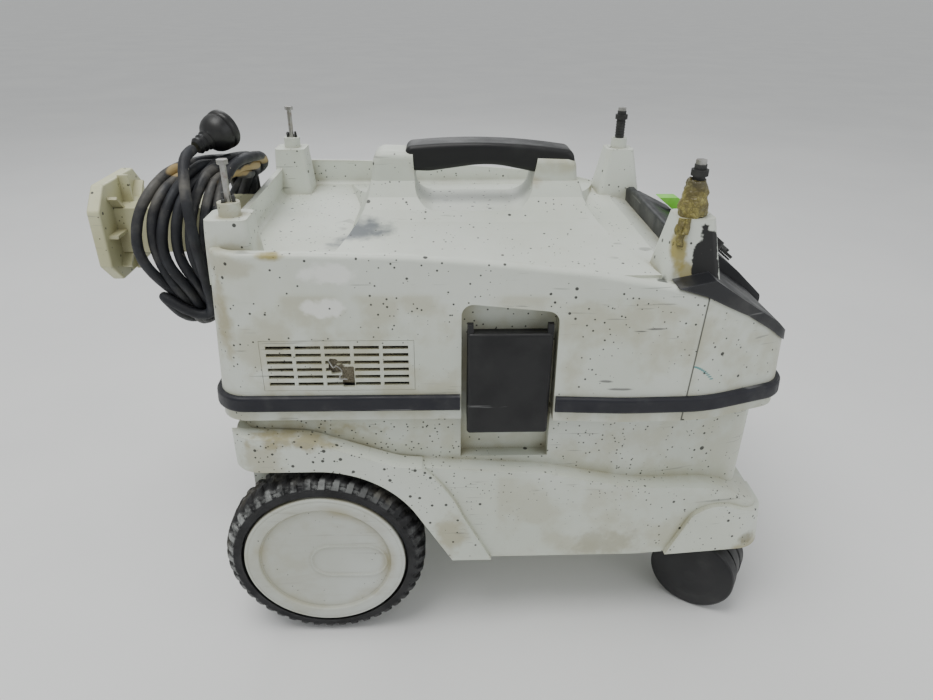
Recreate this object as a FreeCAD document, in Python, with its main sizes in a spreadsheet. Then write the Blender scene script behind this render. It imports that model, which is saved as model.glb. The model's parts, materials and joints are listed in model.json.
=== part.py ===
import FreeCAD, Part
import math
import os

import Sketcher

# Mobile wet-and-dry dust extractor: a wheeled dirt tank, a motor head latched on top of it, a
# carrying bridge with a grip, four rack posts, a control console and a cord wound on a rear hook.
# +X is the machine's front, +Y its left side, +Z up. Everything is drawn from the floor under the
# middle of the four rack posts, and exported from the floor under the middle of the whole machine.
# Lengths are in millimetres and angles in degrees.

App = FreeCAD
Vec = App.Vector
UP = Vec(0, 0, 1)
SIDES = {"right": -1, "left": 1}

doc = App.newDocument("DustExtractor")

# ------------------------------------------------------------------ driving dimensions

DIMENSIONS = {
    # exported frame: centred under the whole machine, this far behind the middle of the posts
    "frame_shift": 19.25,
    # head shell
    "wall": 3.0, "fit_gap": 0.3, "head_bottom": 248, "head_blank_top": 415,
    "head_rear": 216.8, "head_front": 291, "head_side": 173, "head_belly": 185,
    "head_nose_half": 154, "head_draft": 4, "head_rear_draft": 9.4,
    "deck_level": 372, "rim_width": 8, "seam_top_x": 199, "seam_bottom_x": 192,
    # rack posts
    "post_x": 190, "post_y": 135, "post_rear_top": 34, "post_rear_base": 44,
    "post_front_top": 31, "post_front_base": 54, "post_shoulder": 422,
    "spigot_radius": 9, "spigot_rise": 11, "bolt_radius": 2.5, "bolt_hole_radius": 2.6,
    "bolt_stand": 30, "bolt_depth": 30, "bolt_hex": 4.7, "bolt_head": 3.6,
    "sleeve_radius": 5, "sleeve_collar": 7, "sleeve_rib": 0.4, "sleeve_pitch": 3,
    # base plate and its screws
    "plate_low": 255, "plate_high": 261, "screw_radius": 2, "screw_hole": 2.4, "screw_boss": 7.5,
    "screw_head": 3.3, "screw_length": 25,
    # carrying bridge and grip
    "bridge_half": 20, "bridge_rear": -83, "bridge_front": 112, "bridge_top": 449,
    "opening_rear": -47, "opening_front": 77, "opening_floor": 397,
    "grip_rear": -53, "grip_front": 112, "grip_half": 18,
    # bumper band and latch recess
    "band_low": 258, "band_high": 273, "band_proud": 4.5,
    "recess_rear": -3, "recess_front": 78, "recess_top": 358, "recess_depth": 14,
    # side grille
    "grille_rear": -172, "grille_front": -43, "grille_low": 278, "grille_high": 325,
    "slot_length": 21.5, "slot_height": 3.2, "slot_pitch_x": 24.5, "slot_pitch_z": 6.9,
    # tank
    "tank_top": 252, "tank_inset": 10, "skirt_half": 181, "skirt_high": 240,
    "tank_rear": 206, "tank_front": 300, "tank_bottom": 90.5, "tank_upper_front": 280,
    "tank_wall": 4, "between_wheels": 134, "arch_radius": 103, "fender_radius": 141,
    "cavity_split": 30, "cavity_step": 206, "leg_rear": -11, "leg_front": 27, "belly_front": 8,
    # rear wheels
    "axle_x": -133.5, "axle_z": 96, "axle_radius": 8, "axle_half": 178, "tyre_radius": 96,
    "tyre_inner": 79, "wheel_outer_face": 191, "cap_radius": 77,
    "running_gap": 0.05,
    # casters
    "caster_x": 233, "caster_y": 128, "caster_radius": 43, "caster_trail": 25,
    "caster_web": 13, "caster_axle": 4, "caster_axle_half": 24.8, "stem_radius": 5.5,
    "stem_foot": 60, "stem_top": 122,
    # latches
    "latch_rear": 2, "latch_front": 74, "latch_top": 333, "latch_pin_z": 240,
    "latch_pin_y": 164, "latch_pin_radius": 2.5, "latch_face": 178, "latch_back": 172,
    "latch_barrel": 5.5,
    # motor and filter
    "motor_x": -20, "fan_housing_radius": 72, "fan_radius": 62, "motor_radius": 50,
    "shaft_radius": 4, "housing_wall": 3, "motor_wall": 4, "housing_low": 266, "housing_high": 306,
    "motor_high": 360, "filter_radius": 68, "cage_radius": 50, "cage_wall": 4, "cage_low": 156,
    "float_radius": 17, "float_z": 178,
    # suction inlet
    "inlet_z": 136, "inlet_radius": 29, "inlet_outer": 33, "inlet_rear": 224, "inlet_length": 83.5,
    "inlet_boss": 46, "inlet_boss_rear": 270, "inlet_boss_front": 302,
    # console
    "console_half": 80, "console_slope": 38, "console_thick": 3.5, "console_rear": 198.6,
    "knob_radius": 17, "switch_shaft": 4, "dial_shaft": 3, "socket_well": 22, "socket_bore": 19.5,
    "lid_pin_radius": 1.5, "lid_pin_length": 54, "lid_back": 25, "lid_rise": 6.5,
    # cord and hook
    "hook_x": -346, "hook_thick": 12, "hook_z": 374, "hook_arm_half": 26, "hook_arm_rise": 22,
    "cord_z": 357, "cord_rear": 306, "cord_depth": 84, "gland_x": -220.8, "gland_z": 300,
    "cable_radius": 5.3, "plug_x": -262, "plug_z": 465,
}

sheet = doc.addObject("Spreadsheet::Sheet", "Dimensions")
for row, (alias, value) in enumerate(DIMENSIONS.items(), start=1):
    sheet.set(f"A{row}", alias)
    sheet.set(f"B{row}", str(value))
    sheet.setAlias(f"B{row}", alias)
doc.recompute()


class Size:
    """A length with the spreadsheet formula that drives it."""

    def __init__(self, value, formula):
        self.value = float(value)
        self.formula = formula

    def __add__(self, other):
        return Size(self.value + number(other), f"({self.formula} + {formula(other)})")

    def __radd__(self, other):
        return Size(number(other) + self.value, f"({formula(other)} + {self.formula})")

    def __sub__(self, other):
        return Size(self.value - number(other), f"({self.formula} - {formula(other)})")

    def __rsub__(self, other):
        return Size(number(other) - self.value, f"({formula(other)} - {self.formula})")

    def __mul__(self, other):
        return Size(self.value * number(other), f"({self.formula} * {formula(other)})")

    __rmul__ = __mul__

    def __truediv__(self, other):
        return Size(self.value / number(other), f"({self.formula} / {formula(other)})")

    def __neg__(self):
        return Size(-self.value, f"(0 - {self.formula})")

    def __float__(self):
        return self.value


def number(thing):
    return thing.value if isinstance(thing, Size) else float(thing)


def formula(thing):
    return thing.formula if isinstance(thing, Size) else repr(float(thing))


def size(alias):
    """A driving dimension, as a Size bound to its cell."""
    return Size(mm(alias), f"Dimensions.{alias}")


def mm(alias):
    """A driving dimension, as a plain number read from the sheet."""
    return float(sheet.get(alias))


def bind(obj, prop, thing):
    """Sets a property, and ties it to the sheet where it comes from the sheet."""
    if isinstance(thing, Size):
        obj.setExpression(prop, thing.formula)
    else:
        setattr(obj, prop, thing)


# ------------------------------------------------------------------ document objects

PARTS = {}


def keep(obj, label):
    """Registers a document object as the sub-part that its label names."""
    obj.Label = label
    PARTS[label] = obj
    return obj


def place(obj, at=(0, 0, 0), turn=(0, 0, 1), angle=0):
    """Sets an object's Placement, with the driven coordinates tied to the sheet."""
    base = Vec(*[number(c) for c in at])
    obj.Placement = App.Placement(base, App.Rotation(Vec(*turn), number(angle)))
    for axis, coordinate in zip("xyz", at):
        if isinstance(coordinate, Size):
            obj.setExpression(f"Placement.Base.{axis}", coordinate.formula)
    return obj


def origin_plane(body, role):
    for feature in body.Origin.OriginFeatures:
        if feature.Role == role:
            return feature


def sketch_on(body, role, name):
    sketch = body.newObject("Sketcher::SketchObject", name)
    sketch.AttachmentSupport = [(origin_plane(body, role), "")]
    sketch.MapMode = "FlatFace"
    return sketch


def draw_polygon(sketch, corners):
    """Closed polygon whose corners are tied to the sheet by distances from the origin."""
    first = sketch.GeometryCount
    count = len(corners)
    points = [Vec(number(u), number(v), 0) for u, v in corners]
    for i in range(count):
        sketch.addGeometry(Part.LineSegment(points[i], points[(i + 1) % count]), False)
    for i in range(count):
        following = first + (i + 1) % count
        sketch.addConstraint(Sketcher.Constraint("Coincident", first + i, 2, following, 1))
    for i, corner in enumerate(corners):
        for kind, coordinate in zip(("DistanceX", "DistanceY"), corner):
            value = number(coordinate)
            link = Sketcher.Constraint(kind, -1, 1, first + i, 1, value)
            index = sketch.addConstraint(link)
            if isinstance(coordinate, Size):
                sketch.setExpression(f"Constraints[{index}]", coordinate.formula)


def draw_circle(sketch, centre, radius):
    """Circle tied to the sheet by its centre and radius."""
    middle = Vec(number(centre[0]), number(centre[1]), 0)
    ring = sketch.addGeometry(Part.Circle(middle, UP, number(radius)), False)
    index = sketch.addConstraint(Sketcher.Constraint("Radius", ring, number(radius)))
    if isinstance(radius, Size):
        sketch.setExpression(f"Constraints[{index}]", radius.formula)
    for kind, coordinate in zip(("DistanceX", "DistanceY"), centre):
        value = number(coordinate)
        index = sketch.addConstraint(Sketcher.Constraint(kind, -1, 1, ring, 3, value))
        if isinstance(coordinate, Size):
            sketch.setExpression(f"Constraints[{index}]", coordinate.formula)


def turned(label, profile):
    """Body of revolution about its own Z axis, from a closed (radius, height) profile."""
    body = doc.addObject("PartDesign::Body", label + "_body")
    sketch = sketch_on(body, "XZ_Plane", label + "_profile")
    draw_polygon(sketch, profile)
    spin = body.newObject("PartDesign::Revolution", label + "_turn")
    spin.Profile = sketch
    spin.ReferenceAxis = (sketch, ["V_Axis"])
    spin.Angle = 360
    return keep(body, label)


def padded(label, corners, height, holes=()):
    """Body padded along its own Z from a polygon, or a circle radius, less round holes."""
    body = doc.addObject("PartDesign::Body", label + "_body")
    sketch = sketch_on(body, "XY_Plane", label + "_outline")
    if isinstance(corners, (list, tuple)):
        draw_polygon(sketch, corners)
    else:
        draw_circle(sketch, (0, 0), corners)
    for centre, radius in holes:
        draw_circle(sketch, centre, radius)
    pad = body.newObject("PartDesign::Pad", label + "_pad")
    pad.Profile = sketch
    bind(pad, "Length", height)
    return keep(body, label)


def rectangle(low, high):
    """Corners of an upright rectangle."""
    return [(low[0], low[1]), (high[0], low[1]), (high[0], high[1]), (low[0], high[1])]


def moulded(label, shape):
    """Sub-part whose free-form shape is built with Part's own functions."""
    obj = doc.addObject("Part::Feature", label + "_shape")
    obj.Shape = shape
    obj.Placement = App.Placement()
    return keep(obj, label)


# ------------------------------------------------------------------ shape helpers

# how far cutting tools reach past the machine's sides and its rear wall
FAR = 260.0


def rounded_wire(corners, to_space):
    """Closed wire through (u, v, radius) corners, each one rounded by a tangent arc."""
    count = len(corners)
    starts = []
    arcs = []
    for i, (u, v, radius) in enumerate(corners):
        here = Vec(u, v, 0)
        before = Vec(*corners[i - 1][:2], 0) - here
        after = Vec(*corners[(i + 1) % count][:2], 0) - here
        before.normalize()
        after.normalize()
        half = before.getAngle(after) / 2
        if radius <= 0:
            starts.append((here, here))
            arcs.append(None)
            continue
        reach = radius / math.tan(half)
        middle = before + after
        middle.normalize()
        depth = radius / math.sin(half) - radius
        starts.append((here + before * reach, here + after * reach))
        arcs.append(here + middle * depth)
    edges = []
    for i in range(count):
        enter, leave = starts[i]
        if arcs[i] is not None:
            points = [to_space(p.x, p.y) for p in (enter, arcs[i], leave)]
            edges.append(Part.Arc(*points).toShape())
        coming = starts[(i + 1) % count][0]
        edges.append(Part.LineSegment(to_space(leave.x, leave.y), to_space(coming.x, coming.y)).toShape())
    return Part.Wire(edges)


def at_level(z):
    return lambda u, v: Vec(u, v, z)


def at_depth(y):
    return lambda u, v: Vec(u, y, v)


def at_station(x):
    return lambda u, v: Vec(x, u, v)


def prism(corners, to_space, along):
    """Solid swept along a vector from a rounded outline."""
    return Part.Face(rounded_wire(corners, to_space)).extrude(along)


def side_slab(corners):
    """Slab with an XZ outline that spans the machine's width."""
    return prism(corners, at_depth(-FAR), Vec(0, 2 * FAR, 0))


def block(low, high):
    """Box between two corners."""
    low_v = Vec(*[min(a, b) for a, b in zip(low, high)])
    span = [abs(b - a) for a, b in zip(low, high)]
    return Part.makeBox(*span, low_v)


def rod(radius, start, direction, length):
    return Part.makeCylinder(radius, length, Vec(*start), Vec(*direction))


def soften(shape, radius, wanted):
    """Rounds the edges that a test picks out."""
    edges = [edge for edge in shape.Edges if wanted(edge)]
    rounded = shape.makeFillet(radius, edges)
    if not rounded.isValid() or rounded.Volume <= 0:
        raise RuntimeError("a rounding failed")
    return rounded


def largest(shape):
    """The biggest solid of a cut shape, without the chips."""
    return max(shape.Solids, key=lambda solid: solid.Volume)


def middle_of(edge):
    return edge.valueAt((edge.FirstParameter + edge.LastParameter) / 2)


def on_side(side, low, high):
    """Box corners with Y measured outward on one side of the machine."""
    return block((low[0], side * low[1], low[2]), (high[0], side * high[1], high[2]))


# ------------------------------------------------------------------ head mouldings

def plan_corners(front, side, belly, nose, rear, inset):
    """Plan outline of the head, inset all round."""
    half = [
        (-rear + inset, side - inset, max(26 - inset, 4)),
        (0, side + 1 - inset, 400),
        (140, belly - 2 - inset, 300),
        (212, belly - 4 - inset, 130),
        (front - inset, nose - inset, max(26 - inset, 4)),
    ]
    right = [(x, -y, r) for x, y, r in half]
    return right + list(reversed(half))


def head_blank(inset, low, high):
    """Drafted block with the head's plan outline between two levels."""
    span = mm("head_blank_top") - mm("head_bottom")
    wires = []
    for z in (low, high):
        rise = (z - mm("head_bottom")) / span
        side_lean = mm("head_draft") * rise
        corners = plan_corners(mm("head_front") - 2 * side_lean, mm("head_side") - side_lean,
                               mm("head_belly") - side_lean, mm("head_nose_half") - side_lean,
                               mm("head_rear") - mm("head_rear_draft") * rise, inset)
        wires.append(rounded_wire(corners, at_level(z)))
    return Part.makeLoft(wires, True, True)


# side view of the head's sloping rim, rear to front
RIM_LINE = [(-129, 400.5), (-51, 398.5), (27, 393), (108, 385.5), (163, 376)]


def rim_profile(drop, front_x, low):
    """Side outline below the rim line, lowered by drop and closed at front_x and low."""
    top = [(x, z - drop, 350) for x, z in RIM_LINE]
    slope_end = mm("deck_level") - 6 - drop
    corners = [(-FAR, low, 0), (-FAR, 402 - drop, 0)] + top
    corners += [(mm("seam_top_x") - front_x, slope_end, 0)]
    corners += [(mm("seam_bottom_x") - front_x, low, 0)]
    return corners


def make_post(x, y, top, base, low, grow):
    """Drafted rounded square post under a shoulder."""
    wires = []
    for z, width in ((low, base), (mm("post_shoulder") + grow, top)):
        half = width / 2 + grow
        corner = 6 + grow
        square = [(x - half, y - half, corner), (x + half, y - half, corner),
                  (x + half, y + half, corner), (x - half, y + half, corner)]
        wires.append(rounded_wire(square, at_level(z)))
    return Part.makeLoft(wires, True, True)


def front_post(side, grow=0.0):
    return make_post(mm("post_x"), side * mm("post_y"), mm("post_front_top"),
                     mm("post_front_base"), mm("deck_level") - 14, grow)


def rear_post(side):
    post = make_post(-1 - mm("post_x"), side * mm("post_y"), mm("post_rear_top"),
                     mm("post_rear_base"), mm("deck_level") - 2, 0.0)
    back = mm("head_rear") - mm("head_rear_draft") + 0.6
    return post.common(block((-back, -FAR, 0), (0, FAR, 500)))


def spigot(x, y):
    """Ring that a rack drops over, on a post's shoulder."""
    height = mm("spigot_rise")
    return rod(mm("spigot_radius"), (x, y, mm("post_shoulder") - 1), UP, height + 1)


# half width, top, rear end and front end of the saddle under the bridge, from the rim inwards
SADDLE = [(152, 374.5, -126, 166), (124, 377, -119, 157), (98, 380.5, -111, 147), (74, 385, -104, 138),
          (54, 390.5, -98, 130), (39, 397.5, -93, 124), (28, 407, -89, 119), (20, 421, -86, 115)]


def bridge_saddle():
    """Saddle that flares from the bridge's blade down to the deck."""
    base = mm("deck_level") - 2
    right = [(-half, top, rear, front) for half, top, rear, front in SADDLE]
    left = [(half, top, rear, front) for half, top, rear, front in reversed(SADDLE)]
    wires = []
    for y, top, rear, front in right + left:
        lean = (top - base) * 0.45
        corners = [(rear - lean, base, 0), (rear, top, 0), (front, top, 0), (front + lean, base, 0)]
        wires.append(rounded_wire(corners, at_depth(y)))
    return Part.makeLoft(wires, True, True)


def bridge_blade(inset):
    """Upright blade of the carrying bridge, before the hand opening is cut."""
    top = mm("bridge_top") - inset
    corners = [(mm("bridge_rear") - 26, 368, 0), (mm("bridge_rear") - 6 + inset, 404, 60),
               (mm("bridge_rear") + inset, top, 12), (mm("bridge_front") - inset, top - 6, 10),
               (mm("bridge_front") + 4 - inset, 408, 60), (mm("bridge_front") + 34, 368, 0)]
    half = mm("bridge_half") - inset
    return prism(corners, at_depth(-half), Vec(0, 2 * half, 0))


def hand_opening():
    """Finger opening through the bridge."""
    rear, front = mm("opening_rear"), mm("opening_front")
    corners = [(rear + 4, mm("opening_floor"), 20), (front - 10, mm("opening_floor"), 22),
               (front + 2, 470, 0), (rear, 470, 0)]
    return prism(corners, at_depth(-60), Vec(0, 120, 0))


def latch_recess(side, gap):
    """Pocket in the head's side that the latch closes into."""
    deep = mm("head_side") - mm("recess_depth")
    corners = [(mm("recess_rear") - gap, 200, 0), (mm("recess_rear") - gap, mm("recess_top") + gap, 10),
               (mm("recess_front") + gap, mm("recess_top") - 6 + gap, 10),
               (mm("recess_front") + gap, 200, 0)]
    start = side * (deep - gap)
    return prism(corners, at_depth(start), Vec(0, side * 60, 0))


# where the cover is screwed to the base plate
SCREW_SPOTS = [(-209.7, -100), (-209.7, 100), (150, -171.5), (150, 171.5)]
# notch in the head's lip, over a latch's hinge
HINGE_NOTCH = [(-12, 140, 240), (88, 165.3, 255)]


def build_grip():
    """Moulded hand grip that closes the top of the hand opening, with a finger bulge below."""
    rear, front = mm("grip_rear"), mm("grip_front")
    half = mm("grip_half")
    corners = [(rear, 430, 6), (rear, 453, 8), (28, 460, 600), (front - 3, 449, 9),
               (front + 2, 427, 6), (78, 427, 40), (28, 437, 120), (-30, 429, 40)]
    grip = prism(corners, at_depth(-half), Vec(0, 2 * half, 0))
    return soften(grip, 5.0, lambda e: abs(abs(middle_of(e).y) - half) < 0.01 and e.BoundBox.YLength < 0.01)


def build_head_shell():
    """Head cover, nose cover and the two side grilles, all cut from one drafted shell."""
    wall = mm("wall")
    low = mm("head_bottom")
    outer = head_blank(0.0, low, mm("head_blank_top"))
    inner = head_blank(wall, low - 1, mm("head_blank_top"))
    body = outer.common(side_slab(rim_profile(0.0, 0.0, low - 1)))
    body = soften(body, 4.0, top_edge)
    pocket = head_blank(mm("rim_width"), mm("deck_level"), mm("head_blank_top"))
    pocket = soften(pocket, 5.0, lambda e: abs(e.BoundBox.ZMax - mm("deck_level")) < 0.01)
    body = body.cut(pocket)
    raised = bridge_blade(0.0)
    raised = soften(raised, 7.0, blade_rim)
    raised = raised.fuse(bridge_saddle()).removeSplitter()
    raised = raised.cut(hand_opening())
    raised = raised.cut(build_grip())
    for side in SIDES.values():
        raised = raised.fuse(rear_post(side))
        raised = raised.fuse(front_post(side))
        for x in (-mm("post_x"), mm("post_x")):
            raised = raised.fuse(spigot(x, side * mm("post_y")))
    body = body.fuse(raised)
    hollow = inner.common(side_slab(rim_profile(0.0, wall, low - 2)))
    hollow = hollow.common(block((-FAR, -FAR, 0), (FAR, FAR, mm("deck_level") - wall)))
    roof = mm("deck_level") - 2 * wall
    lower = side_slab([(-FAR, low - 2, 0), (-FAR, roof, 0), (150, roof, 0),
                       (mm("seam_top_x") - wall, roof - 14, 0), (mm("seam_bottom_x") - wall, low - 2, 0)])
    hollow = hollow.common(lower)
    for side in SIDES.values():
        body = body.cut(latch_recess(side, 0.0))
        hollow = hollow.cut(latch_recess(side, wall))
    body = body.cut(hollow)
    body = body.cut(inner.common(block((180, -FAR, 240), (200, FAR, 261.3))))
    for side in SIDES.values():
        body = body.cut(on_side(side, *HINGE_NOTCH))
    for x, y in SCREW_SPOTS:
        body = body.fuse(rod(mm("screw_boss"), (x, y, mm("plate_high")), UP, 24))
    for x, y in SCREW_SPOTS:
        body = body.cut(rod(mm("screw_radius"), (x, y, mm("plate_low")), UP, 24))
    body = body.common(outer.fuse(block((-FAR, -FAR, mm("deck_level") - 20), (FAR, FAR, 500))))
    for side in SIDES.values():
        for x in (-mm("post_x"), mm("post_x")):
            foot = (x, side * mm("post_y"), mm("post_shoulder") - 35)
            body = body.cut(rod(mm("bolt_hole_radius"), foot, UP, 60))
    return body, outer, inner


def top_edge(edge):
    """Edges where the head's walls meet its sloping top."""
    box = edge.BoundBox
    flat = box.ZLength < 12 and box.ZMin > 355
    behind_seam = box.XMin < 190 and middle_of(edge).x < mm("seam_top_x") - 2
    upright = box.XLength + box.YLength <= 1
    return flat and behind_seam and not upright and not across_top(edge)


def across_top(edge):
    """Seams that run straight across the top between its facets."""
    return edge.BoundBox.YLength > 200 and edge.BoundBox.XLength < 0.01 and edge.BoundBox.XMin > -190


def blade_rim(edge):
    """Upper long edges of the bridge blade."""
    on_face = abs(abs(middle_of(edge).y) - mm("bridge_half")) < 0.01 and edge.BoundBox.YLength < 0.01
    return on_face and edge.BoundBox.ZMax > mm("deck_level")


# Upper edges of the console, front to back: its raised middle, and its lower side wings.
MIDDLE_LINE = [(205, 385), (238, 369), (264, 349), (290, 325)]
WING_TOP = [(202, 380), (230, 361), (254, 345), (271, 334), (291, 315)]
WING_FOOT = [(172, 374), (197, 366), (238, 345), (264, 328), (296, 303)]


def below_wings():
    """Everything under the lower edge of the console's wings."""
    line = [(x, z, 0) for x, z in WING_FOOT]
    return side_slab([(150, 200, 0), (150, 385, 0)] + line + [(310, 290, 0), (310, 200, 0)])


def ahead_of_seam():
    """Everything in front of the seam between the head cover and the nose cover."""
    gap = mm("fit_gap")
    return side_slab([(mm("seam_bottom_x") + gap, 247, 0), (mm("seam_top_x") + gap, 368, 0),
                      (310, 368, 0), (310, 247, 0)])


def build_nose(outer, inner):
    """Front part of the head's wall, open at the back and under the console."""
    nose = outer.cut(inner).common(ahead_of_seam()).common(below_wings())
    for side in SIDES.values():
        nose = nose.cut(front_post(side, mm("fit_gap")))
    return nose


def build_console(cover, nose):
    """Control console: raised middle, two side wings that wrap the head's edge, hollow below."""
    blank = head_blank(-1.5, 290, mm("head_blank_top"))
    core = head_blank(mm("console_thick"), 289, mm("head_blank_top"))
    foot = [(x, z, 0) for x, z in WING_FOOT]
    wing = [(x, z, 0) for x, z in reversed(WING_TOP)]
    under = [(x, z - 5, 0) for x, z in reversed(WING_TOP)]
    wings = blank.common(side_slab(foot + wing))
    wings = wings.cut(core.common(side_slab([(205, 250, 0), (296, 250, 0)] + under)))
    wings = wings.cut(block((150, -150, 300), (198.5, 150, 400)))
    half = mm("console_half")
    rear = mm("console_rear")
    ridge = [(x, z, 6) for x, z in MIDDLE_LINE]
    middle = prism([(rear, 358, 0), (rear, 385, 3)] + ridge + [(290, 305, 0)],
                   at_depth(-half), Vec(0, 2 * half, 0))
    inside = [(x - 1, z - 5, 0) for x, z in MIDDLE_LINE]
    hollow = prism([(202, 300, 0)] + inside + [(286, 290, 0)],
                   at_depth(4 - half), Vec(0, 2 * half - 8, 0))
    ledge = prism([(rear, 358, 0), (rear, 383, 2), (206, 383, 2), (216, 366, 0)],
                  at_depth(-104), Vec(0, 208, 0))
    console = wings.fuse(middle).fuse(ledge).cut(hollow)
    for side in SIDES.values():
        console = console.cut(front_post(side, mm("fit_gap")))
    console = console.cut(cover).cut(nose)
    for centre, radius in panel_holes():
        start = centre - PANEL_NORMAL * 20
        console = console.cut(Part.makeCylinder(radius, 40, start, PANEL_NORMAL))
    return largest(console)


PANEL_TILT = math.radians(mm("console_slope"))
PANEL_NORMAL = Vec(math.sin(PANEL_TILT), 0, math.cos(PANEL_TILT))
PANEL_DOWN = Vec(math.cos(PANEL_TILT), 0, -math.sin(PANEL_TILT))
PANEL_POINT = Vec(251, 0, 359)


def on_panel(down, across, lift):
    """Point on the console's sloping face: down the slope, across to the left, and off the face."""
    return PANEL_POINT + PANEL_DOWN * down + Vec(0, across, 0) + PANEL_NORMAL * lift


SWITCH_SPOT = on_panel(-8, 50, 0)
DIAL_SPOT = on_panel(-11, -44, 0)
SOCKET_SPOT = on_panel(4, 0, 0)


def panel_holes():
    """Holes through the console's face: switch shaft, dial shaft and socket well."""
    gap = 0.2
    return [(SWITCH_SPOT, mm("switch_shaft") + gap), (DIAL_SPOT, mm("dial_shaft") + gap),
            (SOCKET_SPOT, mm("socket_well") + gap)]


def build_bumper():
    """Band round the head's lower edge, in a rear and a front U."""
    proud = mm("band_proud")
    low, high = mm("band_low"), mm("band_high")
    grown = head_blank(-proud, mm("head_bottom"), mm("head_blank_top"))
    core = head_blank(0.0, mm("head_bottom"), mm("head_blank_top"))
    band = grown.common(block((-FAR, -FAR, low), (310, FAR, high)))
    band = soften(band, 3.0, lambda e: e.BoundBox.ZLength < 0.01)
    band = band.cut(core)
    middle = block((mm("recess_rear") - 1, -FAR, 0), (mm("recess_front") + 1, FAR, 400))
    halves = sorted(band.cut(middle).Solids, key=lambda s: s.CenterOfMass.x)
    return halves


def grille_window(grow):
    """Opening for the cooling grille, through both walls."""
    return block((mm("grille_rear") - grow, -FAR, mm("grille_low") - grow),
                 (mm("grille_front") + grow, FAR, mm("grille_high") + grow))


def grille_slots():
    """Five columns of six slots."""
    slots = []
    middle_x = (mm("grille_rear") + mm("grille_front")) / 2
    middle_z = (mm("grille_low") + mm("grille_high")) / 2
    for column in range(-2, 3):
        for line in range(6):
            x = middle_x + column * mm("slot_pitch_x")
            z = middle_z + (line - 2.5) * mm("slot_pitch_z")
            half = mm("slot_length") / 2
            slots.append(block((x - half, -FAR, z - mm("slot_height") / 2),
                               (x + half, FAR, z + mm("slot_height") / 2)))
    return Part.makeCompound(slots)


def build_head_parts():
    shell, outer, inner = build_head_shell()
    wall_ring = outer.cut(inner)
    grilles = wall_ring.common(grille_window(0.0)).cut(grille_slots())
    for name, sign in SIDES.items():
        half_space = block((-FAR, 0, 0), (FAR, sign * FAR, 500))
        grille = grilles.common(half_space)
        moulded(f"side_grille_{name}", grille.Solids[0])
    cover = shell.cut(grille_window(mm("fit_gap")))
    cable_hole = rod(9.0, (-220, 0, mm("gland_z")), (1, 0, 0), 40)
    cover = cover.cut(cable_hole)
    cover = largest(cover)
    nose = build_nose(outer, inner)
    moulded("head_cover", cover)
    moulded("nose_cover", nose.Solids[0])
    moulded("control_console", build_console(cover, nose))
    rear, front = build_bumper()
    moulded("bumper_rear", rear)
    moulded("bumper_front", front)
    return outer, inner, cover


head_outer, head_inner, head_cover = build_head_parts()

# ------------------------------------------------------------------ head fittings


def build_base_plate():
    """Plate that closes the head from below and carries the motor and the filter."""
    blank = head_blank(mm("wall") + mm("fit_gap"), 240, 290)
    plate = blank.common(block((-FAR, -FAR, mm("plate_low")), (310, FAR, mm("plate_high"))))
    for side in SIDES.values():
        plate = plate.cut(latch_recess(side, mm("wall") + mm("fit_gap")))
    plate = plate.cut(rod(24, (mm("motor_x"), 0, 250), UP, 20))
    for x, y in SCREW_SPOTS:
        plate = plate.cut(rod(mm("screw_hole"), (x, y, 250), UP, 20))
    return plate


def build_cover_screws():
    """Screws that hold the head cover to its base plate, heads below."""
    screws = []
    for x, y in SCREW_SPOTS:
        foot = mm("plate_low") - 2.6
        shank = rod(mm("screw_radius"), (x, y, foot + 0.6), UP, mm("screw_length"))
        head_disc = rod(mm("screw_head"), (x, y, foot), UP, 2.6)
        slot = block((x - 0.5, y - 2.4, foot - 0.4), (x + 0.5, y + 2.4, foot + 0.8))
        screws.append(shank.fuse(head_disc).cut(slot))
    return Part.makeCompound(screws)


def hexagon(radius, x, y, z, height):
    turns = [math.radians(60 * i) for i in range(6)]
    points = [(x + radius * math.cos(a), y + radius * math.sin(a), 0) for a in turns]
    return prism(points, at_level(z), Vec(0, 0, height))


def build_rack_bolts():
    """Hex bolts standing out of the four posts; the front pair stand in sleeves."""
    bolts = []
    top = mm("post_shoulder") + mm("spigot_rise") + mm("bolt_stand")
    for x in (-mm("post_x"), mm("post_x")):
        for side in SIDES.values():
            y = side * mm("post_y")
            length = mm("bolt_stand") + mm("bolt_depth")
            shank = rod(mm("bolt_radius"), (x, y, top - length), UP, length)
            bolts.append(shank.fuse(hexagon(mm("bolt_hex"), x, y, top, mm("bolt_head"))))
    return Part.makeCompound(bolts)


def build_rack_sleeves():
    """Ribbed plastic sleeves round the front pair of bolts."""
    sleeves = []
    base = mm("post_shoulder") + mm("spigot_rise")
    for side in SIDES.values():
        x, y = mm("post_x"), side * mm("post_y")
        tube = rod(mm("sleeve_radius"), (x, y, base), UP, mm("bolt_stand"))
        for level in range(6):
            low = base + 2 + mm("sleeve_pitch") * level
            tube = tube.fuse(rod(mm("sleeve_radius") + mm("sleeve_rib"), (x, y, low), UP, 1.2))
        tube = tube.fuse(rod(mm("sleeve_collar"), (x, y, base + mm("bolt_stand") - 9), UP, 5))
        sleeves.append(tube.cut(rod(mm("bolt_radius") + 0.1, (x, y, base - 1), UP, 60)))
    return Part.makeCompound(sleeves)


moulded("grip_cover", build_grip())
moulded("head_base_plate", build_base_plate())
moulded("cover_screws", build_cover_screws())
moulded("rack_bolts", build_rack_bolts())
moulded("rack_sleeves", build_rack_sleeves())

# ------------------------------------------------------------------ console fittings


def panel_placement(obj, spot):
    """Stands a part's own Z axis along the console face's normal."""
    obj.Placement = App.Placement(spot, App.Rotation(Vec(0, 1, 0), mm("console_slope")))
    obj.setExpression("Placement.Rotation.Angle", "Dimensions.console_slope")
    return obj


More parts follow.
